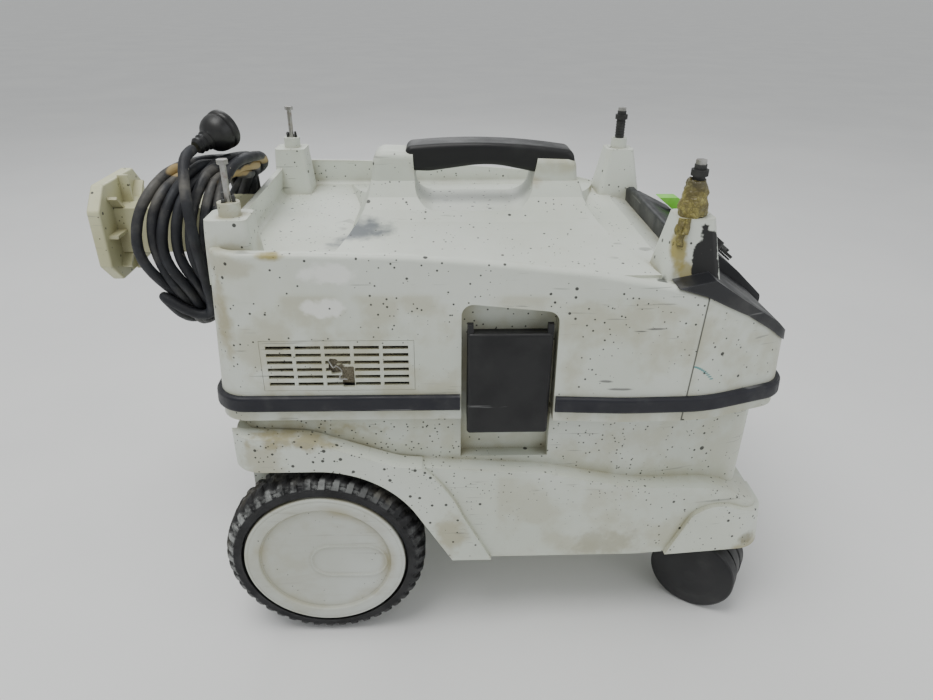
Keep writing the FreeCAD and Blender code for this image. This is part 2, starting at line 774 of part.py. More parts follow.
def panel_block(spot, down, across, low, high):
    """Box aligned with the console face, centred across a spot."""
    box = Part.makeBox(2 * down, 2 * across, high - low, Vec(-down, -across, low))
    box.Placement = App.Placement(spot, App.Rotation(Vec(0, 1, 0), mm("console_slope")))
    return box


def build_switch_knob():
    """Rotary switch: a round foot with a thumb wedge whose top is level."""
    foot = Part.makeCylinder(mm("knob_radius") - 2, 4, SWITCH_SPOT + PANEL_NORMAL * 1.0, PANEL_NORMAL)
    x, y, z = SWITCH_SPOT
    outline = [(x - 27, z + 16, 0), (x - 27, z + 23, 1), (x - 7, z + 23, 4), (x + 2, z + 17, 4),
               (x + 6, z - 5, 0)]
    wedge = prism(outline, at_depth(y - 8), Vec(0, 16, 0))
    below = panel_block(SWITCH_SPOT, 60, 60, -60, 1.2)
    knob = foot.fuse(wedge.cut(below))
    bore = mm("switch_shaft") + mm("running_gap")
    return knob.cut(Part.makeCylinder(bore, 4.6, SWITCH_SPOT, PANEL_NORMAL))


def build_socket():
    """Appliance socket: a square flange on the console's face, a round well and two lid lugs."""
    flange = panel_block(SOCKET_SPOT, 27, 27, 0.6, 2.5)
    well = Part.makeCylinder(mm("socket_well"), 30, SOCKET_SPOT - PANEL_NORMAL * 28, PANEL_NORMAL)
    bore = Part.makeCylinder(mm("socket_bore"), 30, SOCKET_SPOT - PANEL_NORMAL * 25, PANEL_NORMAL)
    socket = flange.fuse(well).cut(bore)
    for across in (-9.5, 9.5):
        hole = Part.makeCylinder(2.5, 8, SOCKET_SPOT + Vec(0, across, 0) - PANEL_NORMAL * 30, PANEL_NORMAL)
        socket = socket.cut(hole)
    for across in (-24, 24):
        foot = SOCKET_SPOT + Vec(0, across, 0) - PANEL_DOWN * mm("lid_back")
        lug = panel_block(foot, 2, 3, 2.4, 8.5)
        socket = socket.fuse(lug)
    return socket.cut(lid_axis_rod(mm("lid_pin_radius"), 60))


LID_CENTRE = SOCKET_SPOT - PANEL_DOWN * mm("lid_back") + PANEL_NORMAL * mm("lid_rise")


def lid_axis_rod(radius, length):
    """Round bar on the socket lid's hinge axis."""
    return Part.makeCylinder(radius, length, LID_CENTRE - Vec(0, length / 2, 0), Vec(0, 1, 0))


def build_socket_lid():
    """Sprung flap over the socket, with a barrel on its upper edge and a lip on its lower edge."""
    flap = panel_block(SOCKET_SPOT + PANEL_DOWN * 2.0, 26, 26, 3.0, 6.0)
    lip = panel_block(SOCKET_SPOT + PANEL_DOWN * 27.5, 1.5, 10, 3.0, 9.0)
    barrel = lid_axis_rod(3.2, 41)
    arm = panel_block(SOCKET_SPOT - PANEL_DOWN * 24, 3, 20.5, 3.6, 6.0)
    lid = flap.fuse(barrel).fuse(lip).fuse(arm)
    for across in (-24, 24):
        lid = lid.cut(panel_block(SOCKET_SPOT + Vec(0, across, 0) - PANEL_DOWN * 24, 6, 3.5, 0, 12))
    return lid.cut(lid_axis_rod(mm("lid_pin_radius") + mm("running_gap"), 60))


def build_board():
    """Control board with a heat sink, a capacitor and a transformer."""
    board = block((112, -60, 300), (186, 60, 301.6))
    sink = block((118, -50, 301.6), (150, -20, 326))
    for groove in range(4):
        sink = sink.cut(block((121 + 7 * groove, -52, 306), (124 + 7 * groove, -18, 327)))
    choke = block((150, 8, 301.6), (180, 38, 322))
    capacitor = rod(8, (130, 25, 301.6), UP, 24)
    return board.fuse(sink).fuse(choke).fuse(capacitor)


moulded("main_switch_knob", build_switch_knob())
switch_shaft = size("switch_shaft")
switch_body = turned("main_switch_body", [(0, 4.5), (switch_shaft, 4.5), (switch_shaft, -6.5), (13, -6.5),
                                          (13, -27), (0, -27)])
panel_placement(switch_body, SWITCH_SPOT)
dial_shaft = size("dial_shaft")
dial_bore = dial_shaft + size("running_gap")
dial = turned("power_dial", [(dial_bore, 1.0), (14, 1.0), (13, 11), (0, 11), (0, 8.2), (dial_bore, 8.2)])
panel_placement(dial, DIAL_SPOT)
potentiometer = turned("power_potentiometer", [(0, 8), (dial_shaft, 8), (dial_shaft, -6.5), (9, -6.5),
                                               (9, -18), (0, -18)])
panel_placement(potentiometer, DIAL_SPOT)
moulded("appliance_socket", build_socket())
moulded("socket_lid", build_socket_lid())
lid_pin = doc.addObject("Part::Cylinder", "socket_lid_pin_rod")
bind(lid_pin, "Radius", size("lid_pin_radius"))
bind(lid_pin, "Height", size("lid_pin_length"))
lid_pin_at = (LID_CENTRE.x, -size("lid_pin_length") / 2, LID_CENTRE.z)
place(keep(lid_pin, "socket_lid_pin"), lid_pin_at, (1, 0, 0), -90)
moulded("electronics_board", build_board())

# ------------------------------------------------------------------ motor and filter

MOTOR_AT = (size("motor_x"), 0, 0)


def motor_part(label, profile):
    return place(turned(label, profile), MOTOR_AT)


shaft = size("shaft_radius")
shaft_bore = shaft + size("running_gap")
housing_out = size("fan_housing_radius")
housing_in = housing_out - size("housing_wall")
housing_low, housing_high = size("housing_low"), size("housing_high")
motor_out = size("motor_radius")
motor_in = motor_out - size("motor_wall")
motor_high = size("motor_high")
seal_low = size("plate_high")
motor_part("motor_seal", [(60, seal_low), (housing_out, seal_low), (housing_out, housing_low),
                          (60, housing_low)])
motor_part("fan_housing", [
    (26, housing_low), (housing_out, housing_low), (housing_out, housing_high), (shaft_bore, housing_high),
    (shaft_bore, housing_high - 4), (housing_in, housing_high - 4),
    (housing_in, housing_low + size("housing_wall")), (26, housing_low + size("housing_wall"))])
motor_part("motor_body", [
    (motor_out, housing_high), (motor_out, motor_high), (shaft_bore, motor_high),
    (shaft_bore, motor_high - 6), (motor_in, motor_high - 6), (motor_in, housing_high)])
motor_part("motor_mount", [(20, motor_high), (32, motor_high), (30, motor_high + 6), (20, motor_high + 6)])
motor_part("motor_armature", [(shaft, 314), (28, 314), (28, 346), (shaft, 346)])

motor_shaft = doc.addObject("Part::Cylinder", "motor_shaft_rod")
bind(motor_shaft, "Radius", shaft)
motor_shaft.Height = 88
place(keep(motor_shaft, "motor_shaft"), (size("motor_x"), 0, 273))


def build_fan():
    """Closed suction impeller: hub, back plate, eye ring and curved vanes set out by angle."""
    radius = mm("fan_radius")
    sheet_thick, vane_height, eye_radius, hub_radius = 2, 20, 24, 11
    eye_low = mm("housing_low") + 8
    vane_low = eye_low + sheet_thick
    centre = Vec(mm("motor_x"), 0, 0)
    back = rod(radius, (centre.x, 0, vane_low + vane_height), UP, sheet_thick)
    eye = rod(radius, (centre.x, 0, eye_low), UP, sheet_thick)
    eye = eye.cut(rod(eye_radius, (centre.x, 0, eye_low), UP, sheet_thick))
    hub = rod(hub_radius, (centre.x, 0, eye_low + 1), UP, vane_height + sheet_thick)
    fan = back.fuse(eye).fuse(hub)
    vanes = 9
    for i in range(vanes):
        curve = (36, 18, vane_low)
        vane = rod(40, curve, UP, vane_height).cut(rod(38.4, curve, UP, vane_height))
        vane = vane.common(rod(radius - 1, (0, 0, vane_low), UP, vane_height))
        vane = vane.cut(rod(hub_radius + 5, (0, 0, vane_low), UP, vane_height))
        vane = vane.common(block((0, -60, vane_low), (80, 0, vane_low + vane_height)))
        vane.rotate(Vec(0, 0, 0), UP, 360 * i / vanes)
        vane.translate(centre)
        fan = fan.fuse(vane)
    return fan.cut(rod(mm("shaft_radius"), (centre.x, 0, 260), UP, 60))


def build_filter_cage():
    """Cage that hangs below the base plate, with windows, a stud and four float guides."""
    x = mm("motor_x")
    radius, wall, low = mm("cage_radius"), mm("cage_wall"), mm("cage_low")
    flange_low = mm("plate_low") - wall
    cage = rod(radius, (x, 0, low), UP, flange_low - low + 1)
    cage = cage.cut(rod(radius - wall, (x, 0, low + wall), UP, flange_low - low - wall))
    cage = cage.fuse(rod(74, (x, 0, flange_low), UP, wall))
    cage = cage.cut(rod(13, (x, 0, 240), UP, 30))
    for angle in range(0, 180, 45):
        window = Part.makeBox(24, 3 * radius, 30, Vec(-12, -1.5 * radius, 0))
        for level in (166, 206):
            cutter = window.copy()
            cutter.rotate(Vec(0, 0, 0), UP, angle + 22.5)
            cutter.translate(Vec(x, 0, level))
            cage = cage.cut(cutter)
    for angle in range(0, 360, 90):
        reach = mm("float_radius") + 0.6
        guide = Part.makeBox(radius - 3 - reach, 3, 90, Vec(reach, -1.5, 160.5))
        guide.rotate(Vec(0, 0, 0), UP, angle)
        guide.translate(Vec(x, 0, 0))
        cage = cage.fuse(guide)
    return cage.fuse(rod(5, (x, 0, 136), UP, low - 134))


def build_filter_cartridge():
    """Pleated filter element with two moulded end rings."""
    x = mm("motor_x")
    pleats = 40
    outer_radius = mm("filter_radius")
    root = outer_radius - 10
    star = []
    for i in range(2 * pleats):
        radius = outer_radius if i % 2 else root
        angle = math.pi * i / pleats
        star.append((x + radius * math.cos(angle), radius * math.sin(angle), 0))
    element = prism(star, at_level(160), Vec(0, 0, 85))
    for level in (154.5, 243.5):
        element = element.fuse(rod(outer_radius + 1, (x, 0, level), UP, 7))
    return element.cut(rod(mm("cage_radius") + 1, (x, 0, 150), UP, 110))


moulded("turbine_fan", build_fan())
moulded("filter_cage", build_filter_cage())
moulded("filter_cartridge", build_filter_cartridge())
motor_part("filter_nut", [(5, 138), (20, 138), (22, 148), (60, 150), (60, 154), (5, 154)])
float_ball = doc.addObject("Part::Sphere", "float_ball_sphere")
bind(float_ball, "Radius", size("float_radius"))
place(keep(float_ball, "float_ball"), (size("motor_x"), 0, size("float_z")))
foams = [on_side(side, (-165, 140, 270), (-50, 160, 330)) for side in SIDES.values()]
moulded("exhaust_foam", Part.makeCompound(foams))

# ------------------------------------------------------------------ cord, hook and plug


def build_cord_hook():
    """Bracket on the rear wall: an arm, an eight-sided end plate and ribs between them."""
    x, z = mm("hook_x"), mm("hook_z")
    thick, wall = mm("hook_thick"), 4
    half_y, half_z, clip = 55, 47, 20
    quarter = [(half_y - clip, half_z), (half_y, half_z - clip)]
    left = quarter + [(u, -v) for u, v in reversed(quarter)]
    right = [(-u, v) for u, v in reversed(left)]
    corners = [(u, z + v, 4) for u, v in left + right]
    plate = prism(corners, at_station(x), Vec(thick, 0, 0))
    plate = soften(plate, 2.0, lambda e: e.BoundBox.XLength < 0.01)
    wide, tall = mm("hook_arm_half"), mm("hook_arm_rise")
    arm = block((x + thick - 1, -wide, z - tall), (-202, wide, z + tall))
    bore = block((x + thick + 3, wall - wide, z - tall + wall), (-190, wide - wall, z + tall - wall))
    bracket = plate.fuse(arm.cut(bore))
    for angle in range(0, 360, 45):
        rib = Part.makeBox(10, 3, 44, Vec(0, -1.5, 4))
        rib.rotate(Vec(0, 0, 0), Vec(1, 0, 0), angle)
        rib.translate(Vec(x + thick - 1, 0, z))
        bracket = bracket.fuse(rib.cut(bore))
    return bracket.cut(head_outer)


def build_cord_bundle():
    """Envelope of the wound mains cord: an upright oval ring round the hook's arm."""
    z, rear, deep = mm("cord_z"), mm("cord_rear"), mm("cord_depth")
    ring = []
    for half_y, half_z in ((84, 88), (50, 52)):
        curve = half_y * 0.95
        corners = [(-half_y, z - half_z, curve), (half_y, z - half_z, curve),
                   (half_y, z + half_z, curve), (-half_y, z + half_z, curve)]
        ring.append(prism(corners, at_station(-rear), Vec(deep, 0, 0)))
    bundle = soften(ring[0], 16, lambda e: e.BoundBox.XLength < 0.01)
    return bundle.cut(ring[1])


moulded("cord_hook", build_cord_hook())
moulded("power_cord", build_cord_bundle())
plug = turned("mains_plug", [(0, 0), (6, 0), (8, 20), (18, 28), (20, 40), (19, 52), (16, 54), (0, 54)])
place(plug, (size("plug_x"), 0, size("plug_z")), (0, 1, 0), 90)
cable = size("cable_radius")
gland = turned("cable_gland", [(cable, 0), (13, 0), (13, 6), (8.9, 6), (8.9, 20), (cable, 20)])
place(gland, (size("gland_x"), 0, size("gland_z")), (0, 1, 0), 90)

# ------------------------------------------------------------------ tank


def tank_plan(half, nose_half, front, rear, inset, z):
    right = [(-rear + inset, -half + inset, max(24 - inset, 3)), (170, -half + inset, 160),
             (front - inset, -nose_half + inset, max(26 - inset, 3))]
    left = [(x, -y, r) for x, y, r in reversed(right)]
    return rounded_wire(right + left, at_level(z))


def tank_upper(inset, low, high):
    """Upright upper part of the tank, set in under the head's lip."""
    half = mm("head_side") - mm("tank_inset")
    front, rear = mm("tank_upper_front"), mm("tank_rear")
    wires = [tank_plan(half + 0.5, 143, front, rear - 1, inset, low),
             tank_plan(half, 143, front, rear - 2, inset, high)]
    return Part.makeLoft(wires, True, True)


def tank_skirt(inset, low, high):
    """Wider lower part of the tank, drafted in towards the top."""
    half = mm("skirt_half")
    wires = [tank_plan(half + 1, 172, mm("tank_front") + 1, mm("tank_rear") + 1, inset, low),
             tank_plan(half - 2, 160, mm("tank_front") - 14, mm("tank_rear"), inset, high)]
    return Part.makeLoft(wires, True, True)


# side view of the skirt's shoulder, rear to front
SKIRT_TOP = [(-140, 230, 60), (-59, 200, 80), (72, 191, 200), (150, 174, 300), (245, 163, 100)]
# where the wheel arch and the fender's outer edge run out into straight legs
ARCH_EXIT = math.radians(29)
FENDER_EXIT = math.radians(20)


def below_skirt_top(drop):
    """Everything under the skirt's shoulder line."""
    line = [(x, z - drop, r) for x, z, r in SKIRT_TOP]
    return side_slab([(-FAR, 60, 0), (-FAR, 236 - drop, 0)] + line + [(320, 118 - drop, 0), (320, 60, 0)])


def arch_point(radius, turn):
    """Point on a circle round the axle."""
    return (mm("axle_x") + radius * math.cos(turn), mm("axle_z") + radius * math.sin(turn))


def wheel_room(side):
    """Space cleared for a rear wheel, with the arch above it and the slope ahead of it."""
    near, far = side * mm("between_wheels"), side * 230
    x, z = mm("axle_x"), mm("axle_z")
    start = Vec(x, min(near, far), z)
    room = Part.makeCylinder(mm("arch_radius"), abs(far - near), start, Vec(0, 1, 0))
    room = room.fuse(block((-FAR, near, 0), (x, far, z + mm("arch_radius"))))
    exit_x, exit_z = arch_point(mm("arch_radius"), ARCH_EXIT)
    foot = mm("leg_rear")
    slope = [(x, 0, 0), (x, exit_z, 0), (exit_x, exit_z, 0), (foot, mm("tank_bottom"), 0), (foot, 0, 0)]
    return room.fuse(prism(slope, at_depth(near), Vec(0, far - near, 0)))


def fender(side):
    """Raised band round the wheel arch and down the slope ahead of the wheel."""
    near, far = side * 165, side * 215
    x, z = mm("axle_x"), mm("axle_z")
    start = Vec(x, min(near, far), z)
    band = Part.makeCylinder(mm("fender_radius"), abs(far - near), start, Vec(0, 1, 0))
    band = band.common(block((x, near, z), (FAR, far, 300)))
    band = band.fuse(block((-FAR, near, z), (x, far, z + mm("fender_radius"))))
    outer_x, outer_z = arch_point(mm("fender_radius"), FENDER_EXIT)
    leg = [(x, outer_z, 0), (outer_x, outer_z, 0), (mm("leg_front"), mm("tank_bottom"), 0),
           (x, mm("tank_bottom"), 0)]
    band = band.cut(block((x, near, 0), (FAR, far, outer_z)))
    band = band.fuse(prism(leg, at_depth(near), Vec(0, far - near, 0)))
    return band


def front_foot(side):
    """Raised patch over the front corner of the skirt."""
    near, far = side * 120, side * 215
    patch = [(196, 84, 0), (222, 136, 16), (244, 148, 40), (320, 122, 0), (320, 84, 0)]
    return prism(patch, at_depth(near), Vec(0, far - near, 0))


def add_latch_ears(tank, side):
    """Hinge ears on the tank, between the latch's barrels."""
    pin_y, pin_z = side * mm("latch_pin_y"), mm("latch_pin_z")
    width = 5.5
    for x in (14.5, 56.5):
        ear = on_side(side, (x, 149, pin_z - 7), (x + width, mm("latch_pin_y"), pin_z + 7))
        ear = ear.fuse(rod(mm("latch_barrel"), (x, pin_y, pin_z), (1, 0, 0), width))
        tank = tank.fuse(ear.cut(rod(mm("latch_pin_radius"), (x - 1, pin_y, pin_z), (1, 0, 0), 8)))
    return tank


def build_tank():
    """Dirt tank: skirted lower half, upright upper half, wheel arches and fittings."""
    bottom, top = mm("tank_bottom"), mm("tank_top")
    wall = mm("tank_wall")
    high, split, step = mm("skirt_high"), mm("cavity_split"), mm("cavity_step")
    above_floor = block((-FAR, -FAR, bottom), (320, FAR, 300))
    skirt = tank_skirt(0.0, bottom - 20, high).common(below_skirt_top(0.0)).common(above_floor)
    raised = tank_skirt(-mm("band_proud"), bottom - 20, high).common(below_skirt_top(-2.0))
    raised = raised.common(above_floor)
    patches = None
    for side in SIDES.values():
        both = fender(side).fuse(front_foot(side))
        patches = both if patches is None else patches.fuse(both)
    skirt = skirt.fuse(raised.common(patches))
    tank = skirt.fuse(tank_upper(0.0, bottom + 20, top))
    between = mm("between_wheels")
    tank = tank.cut(block((-FAR, -between, 0), (mm("belly_front"), between, 112)))
    for side in SIDES.values():
        tank = tank.cut(wheel_room(side))
    cavity = tank_upper(wall, 98, top + 5).cut(block((-FAR, -FAR, 90), (split, FAR, step - 2)))
    lower = tank_skirt(wall, bottom + wall, step)
    lower = lower.common(block((split, -FAR, bottom + wall), (300, FAR, step)))
    cavity = cavity.fuse(lower.common(below_skirt_top(wall + 1)))
    half = between - wall
    cavity = cavity.fuse(block((-mm("tank_rear") + 10, -half, 116), (split + 1, half, step)))
    for side in SIDES.values():
        cavity = cavity.cut(on_side(side, (-7, 146, 190), (82, 200, 260)))
    tank = tank.cut(cavity)
    for side in SIDES.values():
        tank = tank.cut(on_side(side, (mm("recess_rear"), 150, 199), (mm("recess_front"), 200, 260)))
        tank = add_latch_ears(tank, side)
        stem_x, stem_y = mm("caster_x"), side * mm("caster_y")
        boss = rod(14, (stem_x, stem_y, bottom), UP, 40)
        socket = rod(mm("stem_radius") + mm("running_gap"), (stem_x, stem_y, bottom - 1), UP,
                     mm("stem_top") - bottom + 2)
        tank = tank.fuse(boss).cut(socket)
        ear = on_side(side, (mm("axle_x") - 17, 112, 80), (mm("axle_x") + 17, 132, 113))
        tank = tank.fuse(ear)
    tank = tank.cut(rod(mm("axle_radius"), (mm("axle_x"), -200, mm("axle_z")), (0, 1, 0), 400))
    rear, front = mm("inlet_boss_rear"), mm("inlet_boss_front")
    nozzle_boss = rod(mm("inlet_boss"), (rear, 0, mm("inlet_z")), (1, 0, 0), front - rear)
    tank = tank.fuse(nozzle_boss.common(block((rear, -60, bottom), (front, 60, 300))))
    tank = tank.cut(rod(mm("inlet_outer"), (200, 0, mm("inlet_z")), (1, 0, 0), 120))
    return largest(tank.removeSplitter())


def behind_latch(side, gap):
    """Room round a latch at the tank's rim, grown by a gap."""
    return on_side(side, (mm("recess_rear") - gap, 150 - gap, 240), (mm("recess_front") + gap, 200, 260))


def build_seal():
    """Rubber ring on the tank's rim, stepped in behind both latches like the rim."""
    low = mm("tank_top")
    outline = tank_upper(0.8, low, low + 3)
    core = tank_upper(3.2, low - 1, low + 4)
    for side in SIDES.values():
        outline = outline.cut(behind_latch(side, 0.8))
        core = core.cut(behind_latch(side, 3.2))
    return outline.cut(core)


moulded("tank", build_tank())
moulded("tank_seal", build_seal())
inlet_in, inlet_out = size("inlet_radius"), size("inlet_outer")
inlet_end = size("inlet_length")
inlet_lip = size("inlet_boss_front") - size("inlet_rear")
inlet = turned("inlet_port", [
    (inlet_in, 0), (inlet_out, 0), (inlet_out, inlet_lip), (inlet_out + 8, inlet_lip),
    (inlet_out + 8, inlet_end - 1.5), (inlet_out + 3, inlet_end), (inlet_in, inlet_end)])
place(inlet, (size("inlet_rear"), 0, size("inlet_z")), (0, 1, 0), 90)
bag = soften(block((58, -104, 98), (223, 104, 200)), 22, lambda e: True)
moulded("filter_bag", bag)
collar = padded("bag_collar", rectangle((-41, -40), (41, 40)), 2.5, [((0, 0), inlet_out + 0.2)])
place(collar, (223.2, 0, size("inlet_z")), (0, 1, 0), 90)

# ------------------------------------------------------------------ latches


def build_latch(side):
    """Latch lever: face plate, two cheeks, a top return and hinge barrels round the pin."""
    rear, front, top = mm("latch_rear"), mm("latch_front"), mm("latch_top")
    face, back, cheek = mm("latch_face"), mm("latch_back"), 3
    plate = on_side(side, (rear, back, 234), (front, face, top))
    latch = soften(plate, 3.0, lambda e: abs(abs(middle_of(e).y) - face) < 0.01 or e.BoundBox.YLength > 5)
    for x in (rear, front - cheek):
        latch = latch.fuse(on_side(side, (x, 162, 246), (x + cheek, back + 1, top - 3)))
    latch = latch.fuse(on_side(side, (rear + cheek, 161, top - 8), (front - cheek, back + 1, top - 3)))
    for x in (rear, front - 5):
        latch = latch.fuse(on_side(side, (x, back - 1, top - 4), (x + 5, face - 2, top + 8)))
    axis_y = side * mm("latch_pin_y")
    for x, width in ((rear + 1, 11), (20.7, 35), (62.7, 10)):
        latch = latch.fuse(rod(mm("latch_barrel"), (x, axis_y, mm("latch_pin_z")), (1, 0, 0), width))
        latch = latch.fuse(on_side(side, (x, mm("latch_pin_y"), 236), (x + width, back + 1, 245)))
    bore = rod(mm("latch_pin_radius") + mm("running_gap"), (0, axis_y, mm("latch_pin_z")), (1, 0, 0), 80)
    return latch.cut(bore)


pins = []
for name, sign in SIDES.items():
    moulded(f"latch_{name}", build_latch(sign))
    pin_start = (mm("latch_rear") + 1.5, sign * mm("latch_pin_y"), mm("latch_pin_z"))
    pins.append(rod(mm("latch_pin_radius"), pin_start, (1, 0, 0), 69))
moulded("latch_pins", Part.makeCompound(pins))

# ------------------------------------------------------------------ rear wheels

axle = doc.addObject("Part::Cylinder", "rear_axle_bar")
bind(axle, "Radius", size("axle_radius"))
bind(axle, "Height", size("axle_half") * 2)
place(keep(axle, "rear_axle"), (size("axle_x"), -size("axle_half"), size("axle_z")), (1, 0, 0), -90)

axle_bore = size("axle_radius") + size("running_gap")
outer_face = size("wheel_outer_face")
tyre_in, tyre_out = size("tyre_inner"), size("tyre_radius")
cap_out = size("cap_radius")
at_axle = (size("axle_x"), 0, size("axle_z"))
clips = []
for name, sign in SIDES.items():
    angle = -90 * sign
    rim = turned(f"wheel_rim_{name}", [
        (axle_bore, 148), (16, 148), (18, 160), (70, 158), (73, 148), (tyre_in, 148),
        (tyre_in, 183.5), (73, 183.5), (71, 164), (18, 166), (16, 176), (axle_bore, 176)])
    place(rim, at_axle, (1, 0, 0), angle)
    tyre = turned(f"tyre_{name}", [
        (tyre_in, 147), (tyre_out - 8, 147), (tyre_out - 2, 150), (tyre_out, 156), (tyre_out, 181),
        (tyre_out - 2, 187), (tyre_out - 8, 190), (tyre_in, 190)])
    place(tyre, at_axle, (1, 0, 0), angle)
    cap = turned(f"hub_cap_{name}", [
        (0, outer_face - 6), (60, outer_face - 5.5), (62, outer_face - 3.5), (cap_out - 3, outer_face - 3),
        (cap_out - 3, 183.7), (cap_out, 183.7), (cap_out, outer_face - 1), (cap_out - 1, outer_face),
        (63, outer_face), (60, outer_face - 2.5), (0, outer_face - 3.2)])
    place(cap, at_axle, (1, 0, 0), angle)
    start = (mm("axle_x"), sign * 176.3, mm("axle_z"))
    ring = rod(14, start, (0, sign, 0), 1.7)
    clips.append(ring.cut(rod(mm("axle_radius"), start, (0, sign, 0), 4)))
moulded("axle_clips", Part.makeCompound(clips))

# ------------------------------------------------------------------ casters

# how far each caster has swung about its stem, in degrees
CASTER_TURN = {"right": -33.0, "left": -20.0}


def build_caster_hood():
    """Hood between the two wheels of a caster, with a boss for the stem over its rear end."""
    x, z = mm("caster_trail"), mm("caster_radius")
    half = mm("caster_web") / 2
    top = mm("tank_bottom") - 0.8
    web = rod(z - 0.6, (x, -half, z), (0, 1, 0), 2 * half)
    web = web.cut(block((x - 60, -20, 0), (x + 60, 20, 17)))
    boss = rod(13, (0, 0, 50), UP, top - 50)
    hood = web.fuse(boss).fuse(block((-9, -half, 50), (x, half, 2 * z - 4)))
    for side in (-1, 1):
        hood = hood.cut(rod(z + 1.2, (x, side * half, z), (0, side, 0), 40))
    hood = hood.removeSplitter()
    hood = hood.cut(rod(mm("caster_axle"), (x, -40, z), (0, 1, 0), 80))
    return hood.cut(rod(mm("stem_radius"), (0, 0, mm("stem_foot")), UP, 60))


def build_caster_wheels():
    """Pair of wheels with domed, closed outer faces on one axle."""
    radius, inner = mm("caster_radius"), mm("caster_web") / 2 + 0.9
    bore = mm("caster_axle") + mm("running_gap")
    pair = []
    for side in (-1, 1):
        profile = [(bore, inner), (radius - 3, inner), (radius, inner + 2.5), (radius, 23),
                   (radius - 0.8, 24.6), (radius - 2.5, 25.6), (radius - 9, 27), (radius - 17, 28.4),
                   (radius - 28, 29.4), (7, 30), (0, 30), (0, 25), (bore, 25)]
        points = [Vec(r, 0, u) for r, u in profile]
        face = Part.Face(Part.makePolygon(points + [points[0]]))
        wheel = face.revolve(Vec(0, 0, 0), UP, 360)
        wheel.rotate(Vec(0, 0, 0), Vec(1, 0, 0), -90 * side)
        wheel.translate(Vec(mm("caster_trail"), 0, radius))
        pair.append(wheel)
    return Part.makeCompound(pair)


for name, sign in SIDES.items():
    stem_foot = Vec(mm("caster_x"), sign * mm("caster_y"), 0)
    stand = App.Placement(stem_foot, App.Rotation(UP, CASTER_TURN[name]))
    for label, shape in (("hood", build_caster_hood()), ("wheels", build_caster_wheels())):
        piece = moulded(f"caster_{label}_{name}", shape)
        piece.Placement = stand
    stem = doc.addObject("Part::Cylinder", f"caster_stem_{name}_rod")
    bind(stem, "Radius", size("stem_radius"))
    bind(stem, "Height", size("stem_top") - size("stem_foot"))
    stem_at = (size("caster_x"), sign * size("caster_y"), size("stem_foot"))
    place(keep(stem, f"caster_stem_{name}"), stem_at)
    pin = doc.addObject("Part::Cylinder", f"caster_axle_{name}_rod")
    bind(pin, "Radius", size("caster_axle"))
    bind(pin, "Height", size("caster_axle_half") * 2)
    middle = Vec(mm("caster_trail"), -mm("caster_axle_half"), mm("caster_radius"))
    local = App.Placement(middle, App.Rotation(Vec(1, 0, 0), -90))
    pin.Placement = stand.multiply(local)
    keep(pin, f"caster_axle_{name}")


def finish():
    """Checks every object, then writes each sub-part to its own file."""
    doc.recompute()
    for obj in doc.Objects:
        if "Invalid" in obj.State or "Error" in obj.State:
            raise RuntimeError(f"{obj.Label} is {obj.State}")
    os.makedirs("parts", exist_ok=True)
    for label, obj in PARTS.items():
        if obj.Shape.isNull() or not obj.Shape.isValid():
            raise RuntimeError(f"{label} has no valid shape")
        shape = obj.Shape.copy()
        shape.translate(Vec(mm("frame_shift"), 0, 0))
        shape.exportStep(f"parts/{label}.step")


finish()
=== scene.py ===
import json
import math
import random

import bmesh
import bpy
import numpy as np
from mathutils import Matrix, Vector, noise


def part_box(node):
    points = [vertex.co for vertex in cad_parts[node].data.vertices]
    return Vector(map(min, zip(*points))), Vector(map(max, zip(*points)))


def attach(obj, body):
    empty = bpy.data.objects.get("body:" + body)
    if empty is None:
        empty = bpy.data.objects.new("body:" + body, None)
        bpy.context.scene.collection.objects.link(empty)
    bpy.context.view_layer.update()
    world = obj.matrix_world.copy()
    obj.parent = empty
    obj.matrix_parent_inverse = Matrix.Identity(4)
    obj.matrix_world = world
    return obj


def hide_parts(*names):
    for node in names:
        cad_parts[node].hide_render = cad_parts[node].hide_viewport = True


# Looks for a wheeled dust extractor. Everything is in metres, in the row frame: +X is the front,
# +Y the left side, +Z up, and the origin is on the floor under the middle of the machine.

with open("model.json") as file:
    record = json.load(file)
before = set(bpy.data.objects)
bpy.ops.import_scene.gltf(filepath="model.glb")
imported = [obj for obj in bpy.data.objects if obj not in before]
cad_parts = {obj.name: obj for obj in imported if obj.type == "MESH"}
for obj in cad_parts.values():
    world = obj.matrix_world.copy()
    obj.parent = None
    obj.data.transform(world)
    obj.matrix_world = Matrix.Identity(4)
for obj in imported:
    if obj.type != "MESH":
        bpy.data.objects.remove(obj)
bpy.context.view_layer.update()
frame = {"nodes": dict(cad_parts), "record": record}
NODES = frame["nodes"]
SIDES = {"right": -1.0, "left": 1.0}


def centre_of(node):
    low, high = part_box(node)
    return (low + high) / 2


POSTS = Vector((centre_of("rack_bolts").x, 0.0, 0.0))


def spot(x, y, z):
    """A place given from the floor under the middle of the four rack posts."""
    return POSTS + Vector((x, y, z))


# ------------------------------------------------------------------ mesh helpers

def new_object(name, mesh):
    obj = bpy.data.objects.new(name, mesh)
    bpy.context.scene.collection.objects.link(obj)
    return obj


def mesh_object(name, points, faces, smooth_angle=40.0):
    """Object from points and faces, with outward normals and smooth shading below an angle."""
    mesh = bpy.data.meshes.new(name)
    mesh.from_pydata([tuple(p) for p in points], [], faces)
    work = bmesh.new()
    work.from_mesh(mesh)
    bmesh.ops.recalc_face_normals(work, faces=work.faces)
    work.to_mesh(mesh)
    work.free()
    obj = new_object(name, mesh)
    shade(obj, smooth_angle)
    return obj


def shade(obj, angle=40.0):
    """Smooth shading that keeps creases sharper than the angle."""
    for polygon in obj.data.polygons:
        polygon.use_smooth = True
    obj.data.set_sharp_from_angle(angle=math.radians(angle))


